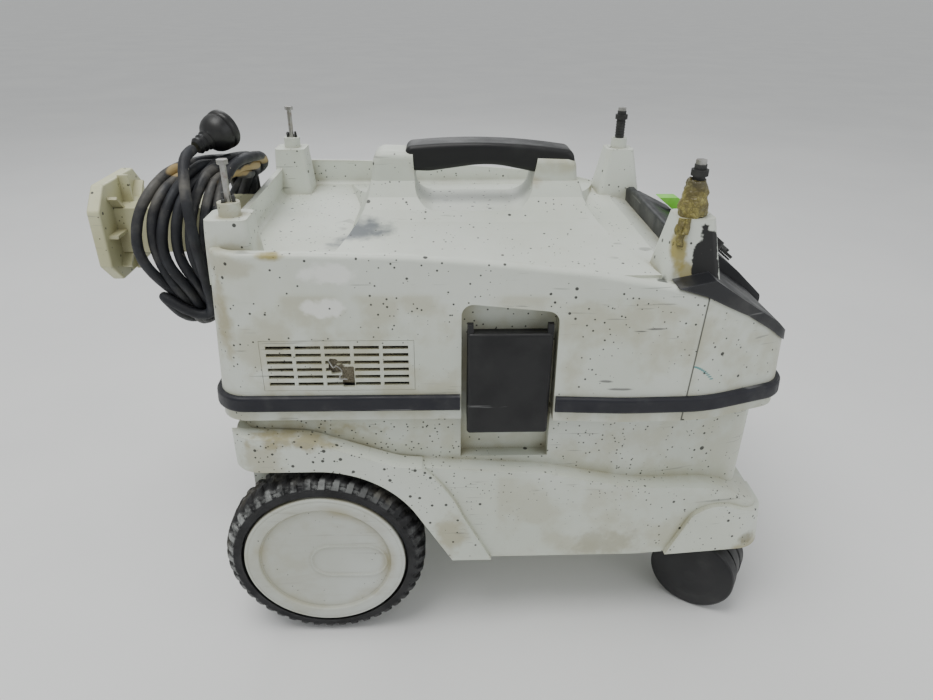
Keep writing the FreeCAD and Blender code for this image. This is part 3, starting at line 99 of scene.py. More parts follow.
def joined(name, objects):
    """One object made of several."""
    work = bmesh.new()
    for obj in objects:
        work.from_mesh(obj.data)
    mesh = bpy.data.meshes.new(name)
    work.to_mesh(mesh)
    work.free()
    for obj in objects:
        bpy.data.objects.remove(obj)
    result = new_object(name, mesh)
    shade(result)
    return result


def apply_modifiers(obj):
    """Bakes an object's modifiers into its mesh."""
    graph = bpy.context.evaluated_depsgraph_get()
    mesh = bpy.data.meshes.new_from_object(obj.evaluated_get(graph))
    obj.modifiers.clear()
    old = obj.data
    obj.data = mesh
    bpy.data.meshes.remove(old)
    return obj


def lathe(name, profile, centre, axis, count=96, shape=None, smooth_angle=40.0):
    """Surface of revolution of (radius, height) points about an axis, closed at both ends.
    shape(radius, height, turn) may return a new (radius, height) for a point."""
    axis = Vector(axis).normalized()
    side = axis.orthogonal().normalized()
    other = axis.cross(side)
    points = []
    for step in range(count):
        turn = 2 * math.pi * step / count
        outward = side * math.cos(turn) + other * math.sin(turn)
        for radius, height in profile:
            r, h = shape(radius, height, turn) if shape else (radius, height)
            points.append(Vector(centre) + outward * r + axis * h)
    rows = len(profile)
    faces = []
    for step in range(count):
        here, there = step * rows, ((step + 1) % count) * rows
        for i in range(rows - 1):
            faces.append((here + i, here + i + 1, there + i + 1, there + i))
    faces.append([step * rows for step in range(count)])
    faces.append([step * rows + rows - 1 for step in range(count)])
    return mesh_object(name, points, faces, smooth_angle)


def ring_lathe(name, profile, centre, axis, count=96, shape=None, smooth_angle=40.0):
    """Like lathe, for a closed profile that doesn't reach the axis."""
    axis = Vector(axis).normalized()
    side = axis.orthogonal().normalized()
    other = axis.cross(side)
    points = []
    for step in range(count):
        turn = 2 * math.pi * step / count
        outward = side * math.cos(turn) + other * math.sin(turn)
        for radius, height in profile:
            r, h = shape(radius, height, turn) if shape else (radius, height)
            points.append(Vector(centre) + outward * r + axis * h)
    rows = len(profile)
    faces = []
    for step in range(count):
        here, there = step * rows, ((step + 1) % count) * rows
        for i in range(rows):
            j = (i + 1) % rows
            faces.append((here + i, here + j, there + j, there + i))
    return mesh_object(name, points, faces, smooth_angle)


def tube(name, path, radius, sides=14, wobble=0.0, rng=None):
    """Closed round tube along a path of points, with hemispherical ends left flat."""
    frames = []
    normal = None
    for i, here in enumerate(path):
        ahead = path[min(i + 1, len(path) - 1)]
        behind = path[max(i - 1, 0)]
        direction = (ahead - behind).normalized()
        if normal is None:
            normal = direction.orthogonal().normalized()
        normal = (normal - direction * normal.dot(direction)).normalized()
        frames.append((here, normal.copy(), direction.cross(normal)))
    points = []
    for here, across, up in frames:
        swell = radius * (1 + (rng.uniform(-wobble, wobble) if rng else 0))
        for k in range(sides):
            turn = 2 * math.pi * k / sides
            points.append(here + (across * math.cos(turn) + up * math.sin(turn)) * swell)
    faces = []
    for i in range(len(path) - 1):
        for k in range(sides):
            a, b = i * sides + k, i * sides + (k + 1) % sides
            faces.append((a, b, b + sides, a + sides))
    faces.append(list(range(sides)))
    faces.append([(len(path) - 1) * sides + k for k in range(sides)])
    return mesh_object(name, points, faces, 60.0)


def smooth_path(knots, steps=10):
    """Points along a Catmull-Rom curve through knots."""
    knots = [Vector(k) for k in knots]
    padded = [knots[0] * 2 - knots[1]] + knots + [knots[-1] * 2 - knots[-2]]
    path = []
    for i in range(1, len(padded) - 2):
        p0, p1, p2, p3 = padded[i - 1:i + 3]
        for step in range(steps):
            t = step / steps
            path.append(0.5 * ((2 * p1) + (p2 - p0) * t + (2 * p0 - 5 * p1 + 4 * p2 - p3) * t * t
                               + (3 * p1 - p0 - 3 * p2 + p3) * t ** 3))
    path.append(knots[-1])
    return path


def rounded_box(name, low, high, radius, segments=3):
    """Box between two corners with every edge rounded."""
    work = bmesh.new()
    bmesh.ops.create_cube(work, size=1.0)
    low, high = Vector(low), Vector(high)
    middle, span = (low + high) / 2, high - low
    for vertex in work.verts:
        vertex.co = Vector([middle[i] + vertex.co[i] * span[i] for i in range(3)])
    bmesh.ops.bevel(work, geom=work.edges[:], offset=radius, segments=segments, profile=0.5, affect="EDGES")
    mesh = bpy.data.meshes.new(name)
    work.to_mesh(mesh)
    work.free()
    obj = new_object(name, mesh)
    shade(obj)
    return obj


# ------------------------------------------------------------------ surfaces

class Surface:
    """Node material built from short calls; coordinates are the row frame's, in metres."""

    def __init__(self, name):
        self.material = bpy.data.materials.new(name)
        self.material.use_nodes = True
        self.tree = self.material.node_tree
        self.tree.nodes.clear()
        self.output = self.tree.nodes.new("ShaderNodeOutputMaterial")
        self.shader = self.tree.nodes.new("ShaderNodeBsdfPrincipled")
        self.link(self.shader.outputs[0], self.output.inputs[0])
        self.place = self.tree.nodes.new("ShaderNodeTexCoord").outputs["Object"]

    def link(self, source, target):
        self.tree.links.new(source, target)

    def feed(self, socket, value):
        """Links a socket, or sets a plain value."""
        if isinstance(value, bpy.types.NodeSocket):
            self.link(value, socket)
        elif isinstance(value, (tuple, list)) and len(value) == 3 and socket.type == "RGBA":
            socket.default_value = (*value, 1.0)
        else:
            socket.default_value = value

    def stretched(self, stretch=(1, 1, 1), turn=(0, 0, 0), shift=(0, 0, 0)):
        node = self.tree.nodes.new("ShaderNodeMapping")
        self.link(self.place, node.inputs["Vector"])
        node.inputs["Scale"].default_value = stretch
        node.inputs["Rotation"].default_value = [math.radians(a) for a in turn]
        node.inputs["Location"].default_value = shift
        return node.outputs[0]

    def noise(self, scale, detail=3.0, rough=0.55, where=None):
        node = self.tree.nodes.new("ShaderNodeTexNoise")
        self.link(where or self.place, node.inputs["Vector"])
        node.inputs["Scale"].default_value = scale
        node.inputs["Detail"].default_value = detail
        node.inputs["Roughness"].default_value = rough
        return node.outputs["Fac"]

    def cell_edges(self, scale):
        """Distance to the border between Voronoi cells."""
        node = self.tree.nodes.new("ShaderNodeTexVoronoi")
        self.link(self.place, node.inputs["Vector"])
        node.feature = "DISTANCE_TO_EDGE"
        node.inputs["Scale"].default_value = scale
        return node.outputs["Distance"]

    def cells(self, scale, where=None):
        """Voronoi distance and two random values for each cell."""
        node = self.tree.nodes.new("ShaderNodeTexVoronoi")
        self.link(where or self.place, node.inputs["Vector"])
        node.inputs["Scale"].default_value = scale
        split = self.tree.nodes.new("ShaderNodeSeparateColor")
        self.link(node.outputs["Color"], split.inputs[0])
        return node.outputs["Distance"], split.outputs[0], split.outputs[1]

    def math(self, operation, a, b=0.0, clamp=False):
        node = self.tree.nodes.new("ShaderNodeMath")
        node.operation = operation
        node.use_clamp = clamp
        self.feed(node.inputs[0], a)
        self.feed(node.inputs[1], b)
        return node.outputs[0]

    def ramp(self, value, low, high, to_low=0.0, to_high=1.0):
        """Smooth step of a value from low to high."""
        node = self.tree.nodes.new("ShaderNodeMapRange")
        node.interpolation_type = "SMOOTHSTEP"
        self.feed(node.inputs["Value"], value)
        self.feed(node.inputs["From Min"], low)
        self.feed(node.inputs["From Max"], high)
        self.feed(node.inputs["To Min"], to_low)
        self.feed(node.inputs["To Max"], to_high)
        return node.outputs[0]

    def mix(self, factor, first, second):
        node = self.tree.nodes.new("ShaderNodeMix")
        node.data_type = "RGBA"
        self.feed(node.inputs[0], factor)
        self.feed(node.inputs[6], first)
        self.feed(node.inputs[7], second)
        return node.outputs[2]

    def blob(self, centre, radii, soft=0.5, rough=0.0, rough_scale=80.0):
        """Mask that is one inside an ellipsoid and fades outside it, with a ragged edge."""
        shift = self.tree.nodes.new("ShaderNodeVectorMath")
        shift.operation = "SUBTRACT"
        self.link(self.place, shift.inputs[0])
        shift.inputs[1].default_value = spot(*centre)
        divide = self.tree.nodes.new("ShaderNodeVectorMath")
        divide.operation = "DIVIDE"
        self.link(shift.outputs[0], divide.inputs[0])
        divide.inputs[1].default_value = radii
        length = self.tree.nodes.new("ShaderNodeVectorMath")
        length.operation = "LENGTH"
        self.link(divide.outputs[0], length.inputs[0])
        reach = length.outputs["Value"]
        if rough:
            wander = self.math("MULTIPLY", self.math("SUBTRACT", self.noise(rough_scale), 0.5), rough)
            reach = self.math("ADD", reach, wander)
        return self.ramp(reach, 1.0 - soft / 2, 1.0 + soft / 2, 1.0, 0.0)

    def axis_value(self, index):
        node = self.tree.nodes.new("ShaderNodeSeparateXYZ")
        self.link(self.place, node.inputs[0])
        return node.outputs[index]

    def reach_from(self, centre):
        """Distance from an axle that runs across the machine."""
        along = self.math("POWER", self.math("SUBTRACT", self.axis_value(0), centre.x), 2.0)
        up = self.math("POWER", self.math("SUBTRACT", self.axis_value(2), centre.z), 2.0)
        return self.math("SQRT", self.math("ADD", along, up))

    def side_line(self, low, high, half_width):
        """Mask of a straight line seen from the side, from a low point up to a high one."""
        lean = (high.x - low.x) / (high.z - low.z)
        climb = self.math("SUBTRACT", self.axis_value(2), low.z)
        along = self.math("SUBTRACT", self.axis_value(0), low.x)
        off = self.math("ABSOLUTE", self.math("SUBTRACT", along, self.math("MULTIPLY", climb, lean)))
        below = self.math("LESS_THAN", self.axis_value(2), high.z)
        return self.math("MULTIPLY", self.ramp(off, half_width * 0.3, half_width, 1.0, 0.0), below)

    def crevice(self, distance, inside=False):
        """One in narrow corners (or along outer edges, if inside) and zero in the open."""
        node = self.tree.nodes.new("ShaderNodeAmbientOcclusion")
        node.samples = 4
        node.inside = inside
        node.inputs["Distance"].default_value = distance
        return self.math("SUBTRACT", 1.0, node.outputs["AO"], True)

    def bump(self, height, strength, distance, before=None):
        node = self.tree.nodes.new("ShaderNodeBump")
        node.inputs["Strength"].default_value = strength
        node.inputs["Distance"].default_value = distance
        self.feed(node.inputs["Height"], height)
        if before:
            self.link(before, node.inputs["Normal"])
        return node.outputs[0]

    def finish(self, colour, roughness, normal=None, metallic=0.0, sheen=0.0, coat=0.0):
        self.feed(self.shader.inputs["Base Color"], colour)
        self.feed(self.shader.inputs["Roughness"], roughness)
        self.feed(self.shader.inputs["Metallic"], metallic)
        self.shader.inputs["Sheen Weight"].default_value = sheen
        self.shader.inputs["Coat Weight"].default_value = coat
        if normal:
            self.link(normal, self.shader.inputs["Normal"])
        return self.material


def paint(obj, material):
    obj.data.materials.clear()
    obj.data.materials.append(material)
    return obj


def specks(surface, scale, share, size, shift=(0, 0, 0)):
    """Mask of small round marks: one in some of the cells, mostly small ones."""
    where = surface.stretched((1, 1, 1), (0, 0, 0), shift)
    distance, chance, spread = surface.cells(scale, where)
    reach = surface.math("MULTIPLY", surface.math("POWER", spread, 1.8), size * scale)
    present = surface.math("LESS_THAN", chance, share)
    inside = surface.ramp(surface.math("SUBTRACT", reach, distance), 0.0, 0.12 * size * scale)
    return surface.math("MULTIPLY", present, inside)


def scratches(surface, stretch, turn, scale, low, high, patch_scale=14.0, patch_low=0.55):
    """Mask of thin broken lines along one direction."""
    where = surface.stretched(stretch, turn)
    lines = surface.ramp(surface.noise(scale, 2.0, 0.6, where), low, high)
    patches = surface.ramp(surface.noise(patch_scale, 2.0), patch_low, patch_low + 0.08)
    return surface.math("MULTIPLY", lines, patches)


def soiled_plastic(name, clean, shade_colour, speck_share=0.42, crevice_dirt_and_shade=0.55, marks=(), seam=None):
    """Off-white moulded plastic: mottled, speckled, scratched, with dirt and painted shade darkening its
    corners, and dirt on its edges.
    marks is a list of (centre, radii, softness, raggedness, colour, strength), and seam the low
    and high end of a joint line with dirt in it."""
    s = Surface(name)
    colour = s.mix(s.ramp(s.noise(7.0, 4.0), 0.35, 0.7), clean, shade_colour)
    colour = s.mix(s.ramp(s.noise(38.0, 5.0), 0.5, 0.85, 0.0, 0.35), colour, (0.56, 0.565, 0.48))
    film = s.ramp(s.noise(5.0, 6.0, 0.7), 0.50, 0.68, 0.0, 0.15)
    colour = s.mix(film, colour, (0.52, 0.51, 0.36))
    # Ambient-occlusion mask that darkens corners towards brown: partly dirt, partly painted shade.
    corner = s.crevice(0.018)
    corner_dirt_and_shade = s.math("MULTIPLY", s.ramp(corner, 0.10, 0.7), s.ramp(s.noise(30.0, 4.0), 0.3, 0.7, 0.35, 1.0))
    colour = s.mix(s.math("MULTIPLY", corner_dirt_and_shade, crevice_dirt_and_shade), colour, (0.27, 0.235, 0.12))
    edge = s.ramp(s.crevice(0.007, True), 0.35, 0.85)
    rubbed = s.math("MULTIPLY", edge, s.ramp(s.noise(24.0, 4.0), 0.40, 0.62))
    colour = s.mix(s.math("MULTIPLY", rubbed, 0.55), colour, (0.40, 0.37, 0.22))
    for centre, radii, soft, ragged, tint, strength in marks:
        mask = s.math("MULTIPLY", s.blob(centre, radii, soft, ragged), strength)
        colour = s.mix(mask, colour, tint)
    if seam:
        colour = s.mix(s.math("MULTIPLY", s.side_line(*seam, 0.0011), 0.85), colour, (0.07, 0.07, 0.06))
    level = scratches(s, (16.0, 16.0, 300.0), (0, 2, 0), 1.5, 0.645, 0.685, 12.0, 0.54)
    slanted = scratches(s, (9.0, 9.0, 260.0), (0, 52, 0), 1.2, 0.665, 0.70, 17.0, 0.55)
    colour = s.mix(s.math("MULTIPLY", level, 0.5), colour, (0.16, 0.16, 0.15))
    colour = s.mix(s.math("MULTIPLY", slanted, 0.5), colour, (0.22, 0.22, 0.20))
    scuff = s.ramp(s.noise(75.0, 6.0, 0.75), 0.62, 0.70, 0.0, 0.5)
    scuff = s.math("MULTIPLY", scuff, s.ramp(s.noise(10.0, 2.0), 0.55, 0.7))
    colour = s.mix(scuff, colour, (0.24, 0.24, 0.22))
    crowd = s.ramp(s.noise(9.0, 2.0), 0.34, 0.60, 0.4, 1.0)
    large = specks(s, 66.0, s.math("MULTIPLY", crowd, speck_share), 0.0025)
    middle = specks(s, 125.0, s.math("MULTIPLY", crowd, speck_share * 1.2), 0.0018, (1.3, 0.4, 2.2))
    small = specks(s, 240.0, s.math("MULTIPLY", crowd, speck_share * 1.2), 0.0011, (3.1, 1.7, 0.4))
    dots = s.math("MAXIMUM", large, s.math("MAXIMUM", middle, small))
    colour = s.mix(s.math("MULTIPLY", dots, 0.93), colour, (0.03, 0.03, 0.026))
    grain = s.bump(s.noise(1400.0, 2.0), 0.12, 0.0004)
    relief = s.math("ADD", s.math("MULTIPLY", dots, 0.6), s.math("MULTIPLY", level, -0.5))
    normal = s.bump(relief, 0.5, 0.0004, grain)
    rough = s.ramp(s.noise(16.0, 3.0), 0.3, 0.7, 0.36, 0.52)
    return s.finish(colour, rough, normal)


def dull_black(name, tone=(0.018, 0.018, 0.02), worn=(0.10, 0.10, 0.11), rough=0.45, dust=0.35, grain=0.2):
    """Dark moulded plastic or rubber with rubbed edges, dust and fine scratches."""
    s = Surface(name)
    edge = s.ramp(s.crevice(0.004, True), 0.4, 0.85)
    rub = s.math("MULTIPLY", edge, s.ramp(s.noise(50.0, 4.0), 0.35, 0.6))
    colour = s.mix(s.math("MULTIPLY", rub, 0.7), tone, worn)
    haze = s.ramp(s.noise(22.0, 5.0), 0.50, 0.78, 0.0, dust)
    colour = s.mix(haze, colour, (0.12, 0.118, 0.11))
    lines = scratches(s, (8.0, 8.0, 220.0), (0, 14, 0), 1.3, 0.68, 0.72, 20.0, 0.5)
    colour = s.mix(s.math("MULTIPLY", lines, 0.5), colour, (0.26, 0.26, 0.26))
    normal = s.bump(s.noise(1100.0, 2.0), grain, 0.0003)
    roughness = s.ramp(s.noise(35.0, 3.0), 0.3, 0.7, rough - 0.08, rough + 0.14)
    return s.finish(colour, roughness, normal)


def green_plastic(name):
    s = Surface(name)
    colour = s.mix(s.ramp(s.noise(60.0, 4.0), 0.4, 0.7), (0.19, 0.62, 0.05), (0.26, 0.72, 0.09))
    # Painted shade: crevices darkened to a deep green by an ambient-occlusion mask.
    colour = s.mix(s.math("MULTIPLY", s.ramp(s.crevice(0.006), 0.2, 0.8), 0.7), colour, (0.10, 0.16, 0.05))
    colour = s.mix(s.ramp(s.noise(90.0, 5.0), 0.58, 0.72, 0.0, 0.4), colour, (0.42, 0.48, 0.30))
    return s.finish(colour, s.ramp(s.noise(70.0), 0.3, 0.7, 0.28, 0.45), s.bump(s.noise(900.0), 0.1, 0.0003))


def metal(name, tone, dull, rough=0.32, rust=0.0):
    """Plated or pressed metal with dulled patches and optional rust."""
    s = Surface(name)
    colour = s.mix(s.ramp(s.noise(90.0, 4.0), 0.35, 0.7), tone, dull)
    stain = s.ramp(s.noise(140.0, 5.0), 0.52, 0.7, 0.0, rust)
    colour = s.mix(stain, colour, (0.16, 0.075, 0.03))
    brushed = s.stretched((20.0, 20.0, 600.0))
    normal = s.bump(s.noise(2.0, 3.0, 0.6, brushed), 0.15, 0.0002)
    roughness = s.ramp(s.noise(60.0, 4.0), 0.3, 0.7, rough, rough + 0.2)
    return s.finish(colour, roughness, normal, s.ramp(stain, 0.0, 1.0, 1.0, 0.2))


def fleece(name, tone, stain, fibre_scale=900.0, strength=0.5):
    """Fibrous sheet with dust settled in it, and a grey-brown in its crevices that is painted shade on a
    pale sheet and settled dust on a dark one.
    """
    s = Surface(name)
    colour = s.mix(s.ramp(s.noise(18.0, 5.0), 0.4, 0.75), tone, stain)
    fibres = s.noise(fibre_scale, 4.0, 0.7)
    colour = s.mix(s.math("MULTIPLY", s.ramp(fibres, 0.4, 0.6), 0.25), colour, (0.40, 0.38, 0.34))
    # Grey-brown in crevices from an ambient-occlusion mask: painted shade on the pale fleece, settled dust
    # on the black foam.
    colour = s.mix(s.ramp(s.crevice(0.008), 0.2, 0.8, 0.0, 0.5), colour, (0.25, 0.23, 0.20))
    return s.finish(colour, 0.92, s.bump(fibres, strength, 0.0006), 0.0, 0.3)


def circuit(name, tone, other):
    """Lacquered board or card with a faint cell pattern."""
    s = Surface(name)
    distance = s.cell_edges(160.0)
    colour = s.mix(s.ramp(distance, 0.02, 0.06), other, tone)
    colour = s.mix(s.ramp(s.noise(40.0, 4.0), 0.5, 0.75, 0.0, 0.4), colour, (0.20, 0.19, 0.15))
    return s.finish(colour, s.ramp(s.noise(50.0), 0.3, 0.7, 0.35, 0.6), s.bump(distance, 0.2, 0.0004))


def winding(name):
    """Copper wire laid in turns."""
    s = Surface(name)
    wave = s.tree.nodes.new("ShaderNodeTexWave")
    s.link(s.place, wave.inputs["Vector"])
    wave.bands_direction = "Z"
    wave.inputs["Scale"].default_value = 190.0
    wave.inputs["Distortion"].default_value = 1.2
    strands = wave.outputs["Fac"]
    colour = s.mix(strands, (0.20, 0.075, 0.03), (0.62, 0.29, 0.12))
    return s.finish(colour, 0.35, s.bump(strands, 0.6, 0.0006), 0.8)


def floor_material():
    s = Surface("pale_floor")
    colour = s.mix(s.ramp(s.noise(2.2, 5.0), 0.35, 0.7), (0.80, 0.80, 0.80), (0.84, 0.84, 0.835))
    colour = s.mix(s.math("MULTIPLY", specks(s, 9.0, 0.10, 0.004), 0.35), colour, (0.35, 0.34, 0.32))
    rough = s.ramp(s.noise(5.0, 4.0), 0.3, 0.7, 0.42, 0.56)
    return s.finish(colour, rough, s.bump(s.noise(300.0), 0.04, 0.001))


# ------------------------------------------------------------------ stains with a place on the machine

OVERSPRAY = (0.085, 0.10, 0.12)
OCHRE = (0.33, 0.27, 0.07)
GREY_SCUFF = (0.13, 0.13, 0.125)
YELLOW_DIRT = (0.33, 0.28, 0.13)
PALE_BROWN = (0.42, 0.36, 0.24)
BLACK_PAINT = (0.012, 0.012, 0.012)
TEAL = (0.02, 0.24, 0.25)

HEAD_MARKS = (
    ((-0.093, -0.060, 0.378), (0.030, 0.024, 0.016), 0.7, 1.0, OVERSPRAY, 0.9),
    ((-0.155, -0.178, 0.400), (0.016, 0.014, 0.006), 0.5, 1.0, OCHRE, 0.9),
    ((-0.200, -0.175, 0.340), (0.008, 0.020, 0.030), 1.0, 2.0, YELLOW_DIRT, 0.65),
    ((-0.190, -0.150, 0.392), (0.020, 0.050, 0.012), 1.0, 2.4, YELLOW_DIRT, 0.4),
    ((0.134, -0.183, 0.281), (0.010, 0.012, 0.0009), 0.9, 1.6, GREY_SCUFF, 0.8),
    ((0.121, -0.182, 0.2885), (0.006, 0.012, 0.0010), 0.9, 1.6, GREY_SCUFF, 0.8),
    ((0.158, -0.180, 0.338), (0.008, 0.012, 0.0009), 0.8, 1.4, GREY_SCUFF, 0.9),
    ((0.146, -0.180, 0.336), (0.005, 0.012, 0.0008), 0.8, 1.4, GREY_SCUFF, 0.9),
    ((-0.110, -0.178, 0.384), (0.024, 0.012, 0.011), 0.3, 0.9, (0.83, 0.84, 0.80), 0.8),
    ((-0.116, -0.178, 0.355), (0.020, 0.012, 0.010), 0.3, 0.9, (0.83, 0.84, 0.80), 0.8),
    ((0.1765, -0.153, 0.402), (0.0065, 0.012, 0.020), 0.7, 1.8, OCHRE, 0.9),
    ((0.1850, -0.158, 0.378), (0.0060, 0.012, 0.010), 0.7, 1.8, OCHRE, 0.75),
    ((0.1990, -0.158, 0.388), (0.0120, 0.016, 0.030), 0.12, 1.3, BLACK_PAINT, 1.0),
    ((0.1900, -0.162, 0.366), (0.0110, 0.016, 0.008), 0.12, 1.6, BLACK_PAINT, 1.0),
    ((0.1640, -0.162, 0.371), (0.0040, 0.008, 0.008), 0.5, 1.2, BLACK_PAINT, 0.8),
    ((-0.190, -0.135, 0.428), (0.012, 0.012, 0.012), 0.8, 1.8, YELLOW_DIRT, 0.5),
    ((0.020, -0.020, 0.420), (0.050, 0.020, 0.006), 0.8, 2.0, PALE_BROWN, 0.6),
)
PEN_LINE = tuple(((0.1965 + 0.0019 * i, -0.173, 0.3015 - 0.00055 * i - 0.0001 * i * i),
                  (0.0019, 0.030, 0.00075), 0.5, 0.0, TEAL, 0.8) for i in range(10))
NOSE_MARKS = PEN_LINE + (
    ((0.286, -0.150, 0.262), (0.010, 0.030, 0.010), 0.9, 1.8, YELLOW_DIRT, 0.5),
)
TANK_MARKS = (
    ((-0.119, -0.184, 0.232), (0.060, 0.020, 0.009), 0.9, 2.2, YELLOW_DIRT, 0.75),
    ((-0.180, -0.180, 0.205), (0.018, 0.020, 0.030), 0.9, 2.0, YELLOW_DIRT, 0.45),
    ((-0.013, -0.186, 0.124), (0.014, 0.020, 0.020), 0.9, 1.8, YELLOW_DIRT, 0.55),
    ((0.284, -0.150, 0.090), (0.020, 0.060, 0.012), 0.9, 2.2, YELLOW_DIRT, 0.7),
    ((0.135, -0.182, 0.106), (0.030, 0.020, 0.014), 0.9, 2.6, (0.34, 0.32, 0.22), 0.55),
    ((0.282, -0.172, 0.101), (0.008, 0.020, 0.007), 0.9, 2.0, (0.22, 0.20, 0.12), 0.7),
    ((0.250, -0.182, 0.148), (0.022, 0.020, 0.0012), 0.9, 1.4, GREY_SCUFF, 0.5),
)


# ------------------------------------------------------------------ finishes of the CAD nodes

SHELL_CLEAN = (0.655, 0.69, 0.625)
SHELL_SHADE = (0.585, 0.62, 0.545)
NOSE_SEAM = (spot(0.1921, 0.0, 0.247), spot(0.1990, 0.0, 0.365))
shell_head = soiled_plastic("shell_head", SHELL_CLEAN, SHELL_SHADE, 0.62, 0.75, HEAD_MARKS, NOSE_SEAM)
shell_nose = soiled_plastic("shell_nose", SHELL_CLEAN, SHELL_SHADE, 0.62, 0.75, NOSE_MARKS, NOSE_SEAM)
shell_tank = soiled_plastic("shell_tank", SHELL_CLEAN, SHELL_SHADE, 0.75, 0.85, TANK_MARKS)
shell_grille = soiled_plastic("shell_grille", (0.665, 0.695, 0.63), SHELL_SHADE, 0.3, 0.9)
console_grey = dull_black("console_grey", (0.013, 0.0135, 0.016), (0.11, 0.11, 0.12), 0.42, 0.35)
satin_black = dull_black("satin_black", (0.0035, 0.0035, 0.0045), (0.06, 0.06, 0.065), 0.36, 0.14)
bumper_rubber = dull_black("bumper_rubber", (0.0075, 0.008, 0.014), (0.12, 0.12, 0.14), 0.5, 0.5, 0.35)
matte_black = dull_black("matte_black", (0.010, 0.010, 0.010), (0.08, 0.08, 0.08), 0.55, 0.3)
latch_black = dull_black("latch_black", (0.0042, 0.0042, 0.0052), (0.05, 0.05, 0.055), 0.5, 0.08)
caster_grey = dull_black("caster_grey", (0.0045, 0.0045, 0.006), (0.13, 0.13, 0.135), 0.42, 0.16)
seal_rubber = dull_black("seal_rubber", (0.02, 0.02, 0.02), (0.07, 0.07, 0.07), 0.7, 0.5)
zinc = metal("zinc", (0.50, 0.50, 0.48), (0.30, 0.29, 0.27), 0.34, 0.5)
bright_metal = metal("bright_metal", (0.66, 0.67, 0.68), (0.52, 0.52, 0.52), 0.28)
fan_alloy = metal("fan_alloy", (0.70, 0.71, 0.72), (0.58, 0.58, 0.58), 0.24)
hook_cream = soiled_plastic("hook_cream", (0.66, 0.66, 0.45), (0.52, 0.51, 0.31), 0.4, 0.9)
bright_green = green_plastic("bright_green")
green_board = circuit("green_board", (0.02, 0.14, 0.05), (0.10, 0.30, 0.10))
card_board = circuit("card_board", (0.50, 0.38, 0.24), (0.40, 0.30, 0.19))
copper_wire = winding("copper_wire")
black_foam = fleece("black_foam", (0.05, 0.05, 0.055), (0.11, 0.10, 0.09), 420.0, 1.0)
filter_fleece = fleece("filter_fleece", (0.72, 0.70, 0.62), (0.42, 0.39, 0.33))
float_orange = soiled_plastic("float_orange", (0.72, 0.25, 0.05), (0.60, 0.20, 0.05), 0.1, 0.5)

SLOT_FINISH = {
    "console": console_grey, "grip": satin_black, "bumper": bumper_rubber, "green": bright_green,
    "dark_plastic": matte_black, "steel": zinc, "board": green_board, "board_card": card_board,
    "motor_shell": bright_metal, "fan_metal": fan_alloy, "copper": copper_wire, "seal": seal_rubber,
    "foam": black_foam, "filter_paper": filter_fleece, "bag_fleece": filter_fleece, "hook": hook_cream,
    "cord": matte_black, "float": float_orange, "latch": latch_black, "rim_plastic": matte_black,
    "tyre": seal_rubber, "cap": shell_grille, "caster_plastic": caster_grey, "caster_wheel": caster_grey,
    "shell": shell_head,
}
NODE_FINISH = {
    "head_cover": shell_head, "nose_cover": shell_nose, "tank": shell_tank,
    "side_grille_right": shell_grille, "side_grille_left": shell_grille,
}
for part in frame["record"]["subparts"]:
    node = part["node"]
    paint(NODES[node], NODE_FINISH.get(node, SLOT_FINISH[part["material_slot"]]))


# ------------------------------------------------------------------ wheels

LUGS = 44


def ease(value, low, high):
    """Smooth step from zero at low to one at high."""
    share = min(max((value - low) / (high - low), 0.0), 1.0)
    return share * share * (3 - 2 * share)


def tyre(name, sign):
    """Rubber tyre with staggered shoulder lugs, a grooved crown and plain side bands."""
    node = f"tyre_{name}"
    low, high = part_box(node)
    radius = (high.x - low.x) / 2
    width = high.y - low.y
    middle = centre_of(node)
    half = width / 2
    side = [(0.0796, 0.0), (0.0806, 0.0006), (0.0838, 0.0008), (0.0852, 0.0004), (0.0858, 0.0002),
            (0.0866, 0.0003), (0.0880, 0.0006), (0.0893, 0.0012), (0.0906, 0.0020), (0.0920, 0.0032),
            (0.0934, 0.0049), (0.0946, 0.0070), (0.0954, 0.0092), (0.0958, 0.0116), (0.0960, 0.0140),
            (0.0960, 0.0150), (0.0960, 0.0176), (0.0960, 0.0186), (0.0960, 0.0205)]
    outer = [(r * radius / 0.096, half - depth) for r, depth in side]
    inner = [(r, -h) for r, h in reversed(outer)]
    profile = outer + inner

    def lugs(r, h, turn):
        share = r / radius
        phase = turn * LUGS / (2 * math.pi) + (0.5 if h < 0 else 0.0)
        inward = half - abs(h)
        slant = 0.35 * ease(inward, 0.004, 0.018)
        phase = (phase + slant) % 1.0
        hook = 0.22 * (1 - ease(share, 0.905, 0.925))
        gap = ease(phase, 0.42 + hook, 0.48 + hook) * (1 - ease(phase, 0.93, 1.0))
        on_shoulder = ease(share, 0.890, 0.902)
        off_crown = 1 - ease(inward, 0.0150, 0.0176)
        cut = gap * on_shoulder * off_crown
        crown = ease(inward, 0.0176, 0.0186)
        zigzag = 0.5 + 0.5 * math.sin(turn * LUGS + math.copysign(0.8, h))
        radial = 0.0030 * cut * ease(share, 0.93, 0.97) + 0.0016 * crown * ease(zigzag, 0.2, 0.6)
        sideways = 0.0017 * cut * (1 - ease(share, 0.95, 0.99))
        return r - radial, h - math.copysign(sideways, h)

    obj = ring_lathe(f"lugged_tyre_{name}", profile, middle, (0, sign, 0), LUGS * 14, lugs, 34.0)
    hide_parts(node)
    return obj


def pill_relief(u, v, left, right, half, line):
    """Height share of a raised outline of a rounded bar at a point."""
    x = min(max(u, left + half), right - half)
    reach = abs(math.hypot(u - x, v) - half)
    return 1 - ease(reach, line * 0.45, line)


